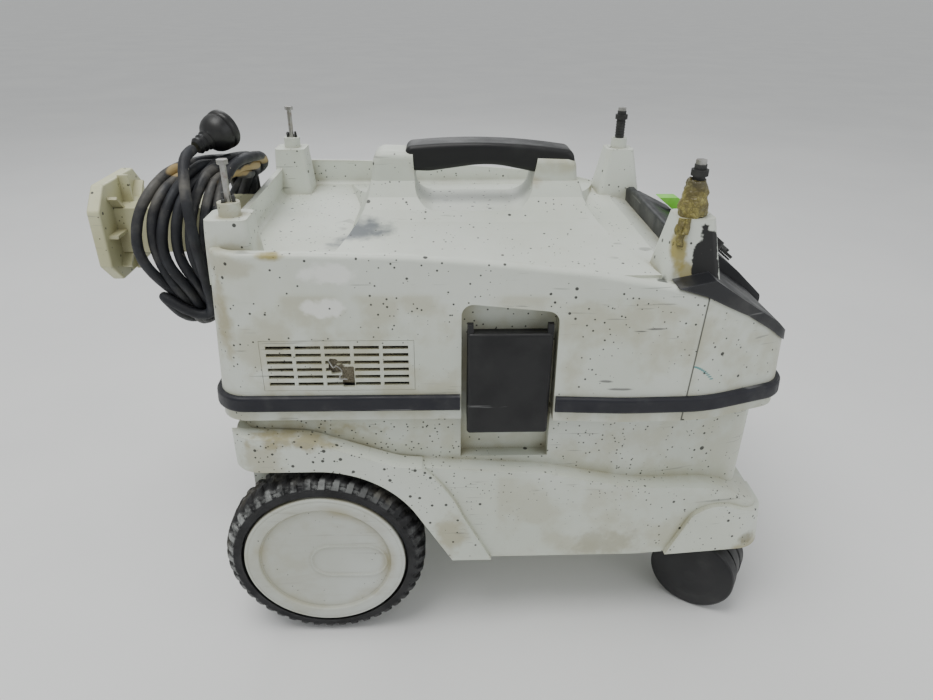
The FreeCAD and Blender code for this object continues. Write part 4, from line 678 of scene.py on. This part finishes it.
def hub_cap(name, sign):
    """Dished wheel cap with a flat outer ring, a groove and a raised bar outline."""
    node = f"hub_cap_{name}"
    low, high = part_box(node)
    middle = centre_of(node)
    radius = (high.x - low.x) / 2
    face = (high.y - low.y) / 2
    rings = 84
    profile = [(radius * (0.012 + 0.775 * i / rings), face - 0.0030) for i in range(rings + 1)]
    profile += [(radius * s, face + h * 0.001) for s, h in
                ((0.800, -3.1), (0.808, -2.7), (0.815, -1.6), (0.822, -0.6), (0.832, -0.1), (0.86, 0.0),
                 (0.90, 0.0), (0.945, -0.05), (0.952, -0.35), (0.960, -0.35), (0.966, -0.1), (0.982, -0.2),
                 (0.993, -0.6), (0.998, -1.3), (1.0, -2.5))]
    profile += [(radius, -face + 0.001), (radius * 0.97, -face + 0.0005), (radius * 0.012, -face + 0.0015)]

    def relief(r, h, turn):
        if h < 0 or r > radius * 0.79:
            return r, h
        dish = -0.0011 * (1 - (r / (radius * 0.79)) ** 2)
        return r, h + dish

    obj = lathe(f"dished_cap_{name}", profile, middle, (0, sign, 0), 300, relief, 30.0)
    for vertex in obj.data.vertices:
        offset = vertex.co - middle
        if offset.y * sign > -face / 2 and math.hypot(offset.x, offset.z) < radius * 0.79:
            lift = pill_relief(offset.x, offset.z + 0.002, -0.014, 0.0585, 0.0185, 0.0016)
            vertex.co.y += sign * 0.0012 * lift
    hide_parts(node)
    return obj


def tyre_rubber():
    """Black rubber with pale dust on the lugs' faces."""
    s = Surface("dusty_rubber")
    colour = s.mix(s.ramp(s.noise(60.0, 4.0), 0.35, 0.7), (0.006, 0.006, 0.007), (0.016, 0.016, 0.018))
    raised = s.math("SUBTRACT", 1.0, s.ramp(s.crevice(0.004), 0.02, 0.22))
    dust = s.math("MULTIPLY", raised, s.ramp(s.noise(30.0, 6.0, 0.7), 0.38, 0.62))
    centre = centre_of("tyre_right")
    rear = s.ramp(s.axis_value(0), centre.x + 0.06, centre.x - 0.05, 0.22, 1.0)
    height = s.ramp(s.axis_value(2), centre.z - 0.07, centre.z + 0.05, 0.35, 1.0)
    across = s.math("ABSOLUTE", s.axis_value(1))
    shoulder = s.ramp(across, abs(centre.y) + 0.0135, abs(centre.y) + 0.0165)
    far_out = s.reach_from(centre)
    on_lugs = s.ramp(far_out, 0.0866, 0.0880)
    dust = s.math("MULTIPLY", s.math("MULTIPLY", dust, on_lugs), s.math("MULTIPLY", rear, height))
    dust = s.math("MULTIPLY", dust, shoulder)
    colour = s.mix(s.math("MULTIPLY", dust, 0.95), colour, (0.36, 0.37, 0.36))
    mud = s.math("MULTIPLY", s.ramp(s.noise(20.0, 5.0), 0.48, 0.7, 0.0, 0.6), s.ramp(far_out, 0.090, 0.093))
    colour = s.mix(mud, colour, (0.125, 0.115, 0.09))
    return s.finish(colour, s.ramp(s.noise(50.0), 0.3, 0.7, 0.55, 0.8), s.bump(s.noise(900.0), 0.3, 0.0004))


def cap_plastic():
    """Off-white wheel cap: dirt in the groove and in broad smears, and dirt with painted shade in the
    crevices round the relief.
    """
    s = Surface("soiled_cap")
    colour = s.mix(s.ramp(s.noise(9.0, 4.0), 0.35, 0.7), (0.58, 0.605, 0.565), (0.52, 0.54, 0.48))
    # Ambient-occlusion mask: dark brown in crevices, partly dirt, partly painted shade.
    crevice_dirt_and_shade = s.ramp(s.crevice(0.008), 0.03, 0.35)
    crevice_dirt_and_shade = s.math("MULTIPLY", crevice_dirt_and_shade, s.ramp(s.noise(16.0, 5.0), 0.34, 0.62, 0.35, 1.0))
    colour = s.mix(s.math("MULTIPLY", crevice_dirt_and_shade, 0.85), colour, (0.22, 0.19, 0.10))
    centre = centre_of("hub_cap_right")
    far_out = s.reach_from(centre)
    ring = s.math("MULTIPLY", s.ramp(far_out, 0.050, 0.0605), s.ramp(far_out, 0.072, 0.0615))
    ring = s.math("MULTIPLY", ring, s.ramp(s.noise(13.0, 5.0), 0.44, 0.62, 0.1, 0.75))
    colour = s.mix(ring, colour, (0.38, 0.34, 0.20))
    swept = s.stretched((1.0, 1.0, 4.0), (0, 24, 0))
    smear = s.ramp(s.noise(13.0, 7.0, 0.7, swept), 0.50, 0.66, 0.0, 0.22)
    colour = s.mix(smear, colour, (0.40, 0.375, 0.29))
    cloud = s.ramp(s.noise(16.0, 6.0, 0.65), 0.50, 0.64, 0.0, 0.4)
    colour = s.mix(cloud, colour, (0.43, 0.42, 0.32))
    rubs = scratches(s, (4.0, 4.0, 150.0), (0, 31, 0), 1.5, 0.60, 0.68, 16.0, 0.45)
    colour = s.mix(s.math("MULTIPLY", rubs, 0.25), colour, (0.24, 0.23, 0.20))
    dots = s.math("MAXIMUM", specks(s, 120.0, 0.3, 0.0012), specks(s, 240.0, 0.35, 0.0006, (2.0, 1.0, 4.0)))
    colour = s.mix(dots, colour, (0.04, 0.04, 0.035))
    return s.finish(colour, s.ramp(s.noise(20.0), 0.3, 0.7, 0.42, 0.6), s.bump(s.noise(900.0), 0.12, 0.0003))


rubber = tyre_rubber()
cap_white = cap_plastic()
for name, sign in SIDES.items():
    wheel = tyre(name, sign)
    paint(wheel, rubber)
    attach(wheel, f"wheel_{name}")
    cap = hub_cap(name, sign)
    paint(cap, cap_white)
    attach(cap, f"wheel_{name}")


# ------------------------------------------------------------------ wound mains cord and its plug

CORD_RADIUS = 0.0049
LOOPS = 7


def loop_knots(k):
    """Places that one turn of the wound cord passes, from the near side over the top and round."""
    odd = k % 2
    return [
        (-0.226 - 0.0118 * k, -0.075 + 0.003 * odd, 0.366),
        (-0.222 - 0.0112 * k, -0.064, 0.410),
        (-0.214 - 0.0085 * k, -0.034, 0.436 - 0.004 * odd),
        (-0.200 - 0.0050 * k, 0.014, 0.436 - 0.008 * (k % 3)),
        (-0.214 - 0.0034 * k, 0.062, 0.412),
        (-0.230 - 0.0080 * (k % 4), 0.077, 0.352),
        (-0.236 - 0.0070 * k, 0.054, 0.296),
        (-0.240 - 0.0052 * k, 0.000, 0.279 + 0.006 * odd),
        (-0.234 - 0.0066 * k, -0.048, 0.293),
        (-0.228 - 0.0096 * k, -0.070, 0.326),
    ]


def settle_cord(path, rounds=36):
    """Pushes touching turns of the cord apart and keeps it off the rear wall."""
    points = np.array([tuple(p) for p in path])
    count = len(points)
    gap = 2 * CORD_RADIUS
    index = np.arange(count)
    far_along = np.abs(index[:, None] - index[None, :]) > 8
    wall = POSTS.x - 0.2215
    for _ in range(rounds):
        offset = points[:, None, :] - points[None, :, :]
        reach = np.linalg.norm(offset, axis=2) + 1e-9
        close = (reach < gap) & far_along
        push = np.where(close, (gap - reach) / reach, 0.0)
        shift = (offset * push[:, :, None]).sum(1) * 0.24
        length = np.linalg.norm(shift, axis=1)
        shift *= np.minimum(1.0, 0.0016 / (length + 1e-9))[:, None]
        shift[:6] = 0.0
        shift[-6:] = 0.0
        points = points + shift
        inner = points[1:-1] + 0.22 * ((points[:-2] + points[2:]) / 2 - points[1:-1])
        points[1:-1] = inner
        low = points[:, 2] < 0.409
        points[low, 0] = np.minimum(points[low, 0], wall)
    return [Vector(p) for p in points]


def wound_cord():
    rng = random.Random(7)
    gland = centre_of("cable_gland")
    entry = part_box("cable_gland")[0].x - POSTS.x
    knots = [(entry + 0.004, 0.0, gland.z), (entry - 0.006, -0.002, gland.z), (-0.236, -0.022, 0.292)]
    for k in range(LOOPS):
        ring = loop_knots(k)
        if k == 0:
            ring = ring[0:]
        knots += ring
    knots += [(-0.246, -0.066, 0.300), (-0.239, -0.083, 0.340), (-0.240, -0.087, 0.385),
              (-0.2440, -0.078, 0.425), (-0.2500, -0.050, 0.4475), (-0.2465, -0.0335, 0.4531)]
    jitter = [Vector([rng.uniform(-0.0016, 0.0016) for _ in range(3)]) for _ in knots]
    places = [spot(*k) + (j if 3 < i < len(knots) - 3 else Vector((0, 0, 0)))
              for i, (k, j) in enumerate(zip(knots, jitter))]
    path = settle_cord(smooth_path(places, 11))
    obj = tube("wound_cord", path, CORD_RADIUS, 14, 0.02, rng)
    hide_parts("power_cord")
    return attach(obj, "head")


def cord_rubber():
    """Dusty black sheath with dried paint on one stretch."""
    s = Surface("dusty_sheath")
    colour = s.mix(s.ramp(s.noise(45.0, 4.0), 0.35, 0.7), (0.008, 0.0085, 0.012), (0.022, 0.024, 0.030))
    dust = s.ramp(s.noise(30.0, 5.0), 0.46, 0.70, 0.0, 0.75)
    above = s.ramp(s.axis_value(2), 0.36, 0.45, 0.35, 1.0)
    colour = s.mix(s.math("MULTIPLY", dust, above), colour, (0.165, 0.155, 0.135))
    for centre, radii in (((-0.216, 0.008, 0.428), (0.036, 0.050, 0.0060)),
                          ((-0.262, -0.040, 0.436), (0.008, 0.010, 0.006))):
        stain = s.blob(centre, radii, 0.4, 1.4, 60.0)
        colour = s.mix(s.math("MULTIPLY", stain, 0.85), colour, (0.40, 0.29, 0.12))
    flakes = s.math("MULTIPLY", specks(s, 150.0, 0.35, 0.0011), 0.8)
    colour = s.mix(flakes, colour, (0.30, 0.28, 0.22))
    return s.finish(colour, s.ramp(s.noise(50.0), 0.3, 0.7, 0.45, 0.7), s.bump(s.noise(600.0), 0.35, 0.0004))


def mains_plug():
    """Domed rubber plug with a ribbed boot, and its two pins."""
    axis = Vector((0.50, 0.80, 0.30)).normalized()
    start = spot(-0.2443, -0.0299, 0.4544)
    boot = [(0.0056, 0.0), (0.0064, 0.001), (0.0078, 0.003), (0.0070, 0.005), (0.0070, 0.006),
            (0.0084, 0.008), (0.0076, 0.010), (0.0076, 0.011), (0.0092, 0.013), (0.0086, 0.0155)]
    dome = [(0.0096, 0.0170), (0.0128, 0.0190), (0.0152, 0.0215), (0.0168, 0.0245), (0.0177, 0.0280),
            (0.0180, 0.0310), (0.0174, 0.0319), (0.0174, 0.0328), (0.0183, 0.0337), (0.0186, 0.0350),
            (0.0186, 0.0380), (0.0180, 0.0396), (0.0164, 0.0404), (0.0162, 0.0380), (0.0008, 0.0378)]
    body = lathe("domed_plug", boot + dome, start, axis, 64, None, 34.0)
    side = axis.cross(Vector((-0.28, 0.94, -0.17))).normalized()
    pins = []
    for sign in (-1, 1):
        foot = start + axis * 0.0375 + side * 0.0095 * sign
        profile = [(0.0006, -0.002), (0.0024, -0.002), (0.0024, 0.0105), (0.0016, 0.0118), (0.0006, 0.0120)]
        pins.append(lathe(f"pin_{sign}", profile, foot, axis, 20))
    both = joined("plug_pins", pins)
    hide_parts("mains_plug")
    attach(body, "head")
    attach(both, "head")
    return body, both


sheath = cord_rubber()
paint(wound_cord(), sheath)
plug_body, plug_pins = mains_plug()
paint(plug_body, dull_black("plug_rubber", (0.005, 0.005, 0.006), (0.06, 0.06, 0.06), 0.38, 0.3))
paint(plug_pins, bright_metal)


# ------------------------------------------------------------------ glue, scraps and the broken grille

def lumpy(obj, size, scale, seed):
    """Moves vertices along their normals by a seeded noise."""
    for vertex in obj.data.vertices:
        value = noise.noise(vertex.co * scale + Vector((seed, seed * 0.7, 0.0)))
        vertex.co += vertex.normal * size * value
    return obj


def foam_material():
    s = Surface("old_glue_foam")
    cells = s.cell_edges(330.0)
    colour = s.mix(s.ramp(s.noise(90.0, 4.0), 0.35, 0.65), (0.12, 0.095, 0.022), (0.30, 0.26, 0.07))
    colour = s.mix(s.ramp(cells, 0.0, 0.10, 0.7, 0.0), colour, (0.085, 0.065, 0.02))
    pale = s.ramp(s.noise(60.0, 3.0), 0.58, 0.70, 0.0, 0.4)
    colour = s.mix(pale, colour, (0.42, 0.39, 0.17))
    burnt = s.ramp(s.axis_value(2), 0.440, 0.449, 0.0, 0.7)
    colour = s.mix(burnt, colour, (0.05, 0.042, 0.02))
    return s.finish(colour, 0.5, s.bump(cells, 0.8, 0.0012), 0.0, 0.0, 0.25)


def glue_cone():
    """Hardened foam round the sleeve on the near front post, with runs down the post."""
    profile = [(0.0006, 0.4205), (0.0100, 0.4210), (0.0120, 0.4225), (0.0127, 0.4255), (0.0125, 0.4290),
               (0.0116, 0.4330), (0.0108, 0.4370), (0.0098, 0.4410), (0.0088, 0.4450), (0.0079, 0.4485),
               (0.0072, 0.4505), (0.0058, 0.4512), (0.0006, 0.4510)]
    dense = []
    for (r0, h0), (r1, h1) in zip(profile, profile[1:]):
        dense += [(r0 + (r1 - r0) * i / 3, h0 + (h1 - h0) * i / 3) for i in range(3)]
    dense.append(profile[-1])
    cone = lathe("cone", dense, spot(0.1885, -0.1365, 0.0), (0, 0, 1), 72, None, 60.0)
    lumpy(cone, 0.0024, 130.0, 3.0)
    lumpy(cone, 0.0012, 330.0, 5.0)
    runs = []
    for i, (x, y, z, length, radius) in enumerate((
            (0.1775, -0.1495, 0.4225, 0.022, 0.0030), (0.1805, -0.1510, 0.4225, 0.012, 0.0026),
            (0.1750, -0.1475, 0.4170, 0.026, 0.0022))):
        path = [spot(x - 0.002 * s, y - 0.0042 * s, z - length * s) for s in (0, 0.2, 0.4, 0.6, 0.8, 1.0)]
        run = tube(f"run_{i}", smooth_path(path, 5), radius, 12)
        runs.append(lumpy(run, 0.0016, 190.0, 8.0 + i))
    obj = joined("glue_foam", [cone] + runs)
    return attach(obj, "head")


def scraps():
    """Torn bits of a black plastic sleeve at the feet of the rear bolts."""
    rng = random.Random(11)
    bits = []
    for side in SIDES.values():
        for i in range(5):
            turn = rng.uniform(0, 2 * math.pi)
            reach = rng.uniform(0.0030, 0.0050)
            foot = spot(-0.190 + reach * math.cos(turn), side * 0.135 + reach * math.sin(turn), 0.4325)
            tall = rng.uniform(0.003, 0.008)
            bit = rounded_box(f"bit_{i}", foot - Vector((0.0012, 0.0012, 0.0)),
                              foot + Vector((0.0012, 0.0014, tall)), 0.0004, 2)
            lean = Matrix.Rotation(rng.uniform(-0.6, 0.6), 4, (math.cos(turn), math.sin(turn), 0))
            bit.data.transform(Matrix.Translation(foot) @ lean @ Matrix.Translation(-foot))
            bits.append(lumpy(bit, 0.0010, 700.0, i + side))
    obj = joined("torn_scraps", bits)
    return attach(obj, "head")


def broken_grille():
    """The near grille with a few bars broken out; it stands in for the CAD node."""
    node = "side_grille_right"
    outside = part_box(node)[0].y
    obj = new_object("broken_grille", NODES[node].data.copy())
    gaps = ((-0.0995, 0.2910, 0.0052, 0.0100, 0), (-0.1085, 0.2985, 0.0060, 0.0040, -12),
            (-0.1120, 0.3035, 0.0035, 0.0050, 8))
    cutters = []
    for i, (x, z, dx, dz, turn) in enumerate(gaps):
        bit = rounded_box(f"cutter_{i}", (-dx, -0.012, -dz), (dx, 0.012, dz), 0.001, 1)
        lean = Matrix.Rotation(math.radians(turn), 4, (0, 1, 0))
        bit.data.transform(Matrix.Translation(spot(x, outside + 0.002, z)) @ lean)
        cut = obj.modifiers.new(f"break_{i}", "BOOLEAN")
        cut.operation = "DIFFERENCE"
        cut.solver = "EXACT"
        cut.object = bit
        cutters.append(bit)
    apply_modifiers(obj)
    for bit in cutters:
        bpy.data.objects.remove(bit)
    shade(obj, 30.0)
    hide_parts(node)
    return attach(obj, "head")


def behind_grille():
    """Old foam and a bit of loose wire that show through the broken bars."""
    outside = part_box("side_grille_right")[0].y
    low = spot(-0.168, outside + 0.0065, 0.281)
    high = spot(-0.047, outside + 0.0125, 0.322)
    foam = rounded_box("grille_foam", low, high, 0.002)
    dice = foam.modifiers.new("dice", "SUBSURF")
    dice.subdivision_type = "SIMPLE"
    dice.levels = dice.render_levels = 4
    apply_modifiers(foam)
    lumpy(foam, 0.0022, 120.0, 2.0)
    wire_path = [spot(x, outside + y, z) for x, y, z in (
        (-0.116, 0.004, 0.305), (-0.112, 0.001, 0.300), (-0.109, 0.000, 0.302), (-0.105, 0.002, 0.296),
        (-0.107, 0.000, 0.290), (-0.101, 0.002, 0.288))]
    wire = tube("loose_wire", smooth_path(wire_path, 6), 0.0007, 8)
    return foam, wire


def brown_foam():
    s = Surface("brown_foam")
    cells = s.cell_edges(500.0)
    colour = s.mix(s.ramp(s.noise(45.0, 5.0), 0.42, 0.60), (0.03, 0.028, 0.022), (0.29, 0.26, 0.19))
    colour = s.mix(s.ramp(cells, 0.0, 0.15, 0.5, 0.0), colour, (0.05, 0.03, 0.015))
    return s.finish(colour, 0.9, s.bump(cells, 0.8, 0.0008))


paint(glue_cone(), foam_material())
paint(scraps(), matte_black)
paint(broken_grille(), shell_grille)
grille_foam, loose_wire = behind_grille()
paint(grille_foam, brown_foam())
paint(loose_wire, zinc)
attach(grille_foam, "head")
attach(loose_wire, "head")


# ------------------------------------------------------------------ filter bag

def bag_blank():
    """Flat-sided blank of the filter bag, fine enough to crease."""
    low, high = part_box("filter_bag")
    inset = Vector((0.004, 0.006, 0.004))
    obj = rounded_box("sewn_filter_bag", low + inset, high - inset, 0.018, 4)
    for _ in range(3):
        dice = obj.modifiers.new("dice", "SUBSURF")
        dice.levels = dice.render_levels = 1
        apply_modifiers(obj)
    return obj


def inflate_bag(obj):
    """Cloth simulation: the bag fills a little, sags and creases while its mouth is held."""
    low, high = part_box("filter_bag")
    mouth = obj.vertex_groups.new(name="mouth")
    held = [v.index for v in obj.data.vertices if v.co.x > high.x - 0.012 and abs(v.co.y) < 0.05]
    mouth.add(held, 1.0, "REPLACE")
    cloth = obj.modifiers.new("cloth", "CLOTH")
    settings = cloth.settings
    settings.quality = 5
    settings.mass = 0.12
    settings.tension_stiffness = settings.compression_stiffness = 12
    settings.shear_stiffness = 6
    settings.bending_stiffness = 0.3
    settings.use_pressure = True
    settings.uniform_pressure_force = 0.9
    settings.shrink_min = -0.06
    settings.vertex_group_mass = "mouth"
    cloth.collision_settings.use_collision = False
    cloth.collision_settings.use_self_collision = False
    scene = bpy.context.scene
    for step in range(1, 26):
        scene.frame_set(step)
    apply_modifiers(obj)
    scene.frame_set(1)
    return obj


def finish_bag(obj):
    """Keeps the bag inside its space, roughens its surface with noise and gives it smooth shading."""
    low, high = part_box("filter_bag")
    for vertex in obj.data.vertices:
        for i in range(3):
            vertex.co[i] = min(max(vertex.co[i], low[i] + 0.0005), high[i] - 0.0005)
    lumpy(obj, 0.0022, 32.0, 4.0)
    lumpy(obj, 0.0009, 95.0, 6.0)
    shade(obj, 60.0)
    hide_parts("filter_bag")
    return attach(obj, "tank")


bag = bag_blank()
inflate_bag(bag)
paint(finish_bag(bag), filter_fleece)


# ------------------------------------------------------------------ floor, light and camera

def floor():
    obj = rounded_box("floor", (-60.0, -60.0, -0.5), (60.0, 60.0, 0.0), 0.01, 1)
    paint(obj, floor_material())


def softbox(name, place, target, size, power, tint=(1, 1, 1)):
    light = bpy.data.lights.new(name, "AREA")
    light.shape = "DISK"
    light.size = size
    light.energy = power
    light.color = tint
    obj = bpy.data.objects.new(name, light)
    bpy.context.scene.collection.objects.link(obj)
    obj.location = place
    obj.rotation_mode = "QUATERNION"
    obj.rotation_quaternion = (Vector(target) - Vector(place)).to_track_quat("-Z", "Y")


def sky():
    world = bpy.data.worlds.new("pale_room")
    bpy.context.scene.world = world
    world.use_nodes = True
    background = world.node_tree.nodes["Background"]
    background.inputs["Color"].default_value = (0.90, 0.92, 0.92, 1)
    background.inputs["Strength"].default_value = 0.62


def camera():
    data = bpy.data.cameras.new("camera")
    data.sensor_width = 36.0
    data.lens = 26.57
    data.clip_start = 0.01
    obj = bpy.data.objects.new("camera", data)
    bpy.context.scene.collection.objects.link(obj)
    obj.location = spot(-0.019, -0.6866, 0.5869)
    obj.rotation_euler = [math.radians(angle) for angle in (62.226, -0.473, -2.016)]
    bpy.context.scene.camera = obj


floor()
sky()
softbox("key", (-0.5, -0.5, 2.2), (0.0, 0.0, 0.25), 1.3, 27.0, (1.0, 1.0, 0.98))
softbox("fill", (1.6, -1.2, 1.2), (0.1, 0.0, 0.2), 1.8, 7.0, (0.96, 0.98, 1.0))
softbox("rim", (-0.3, 1.8, 1.8), (0.0, 0.0, 0.3), 1.6, 14.0, (0.97, 0.99, 1.0))
camera()
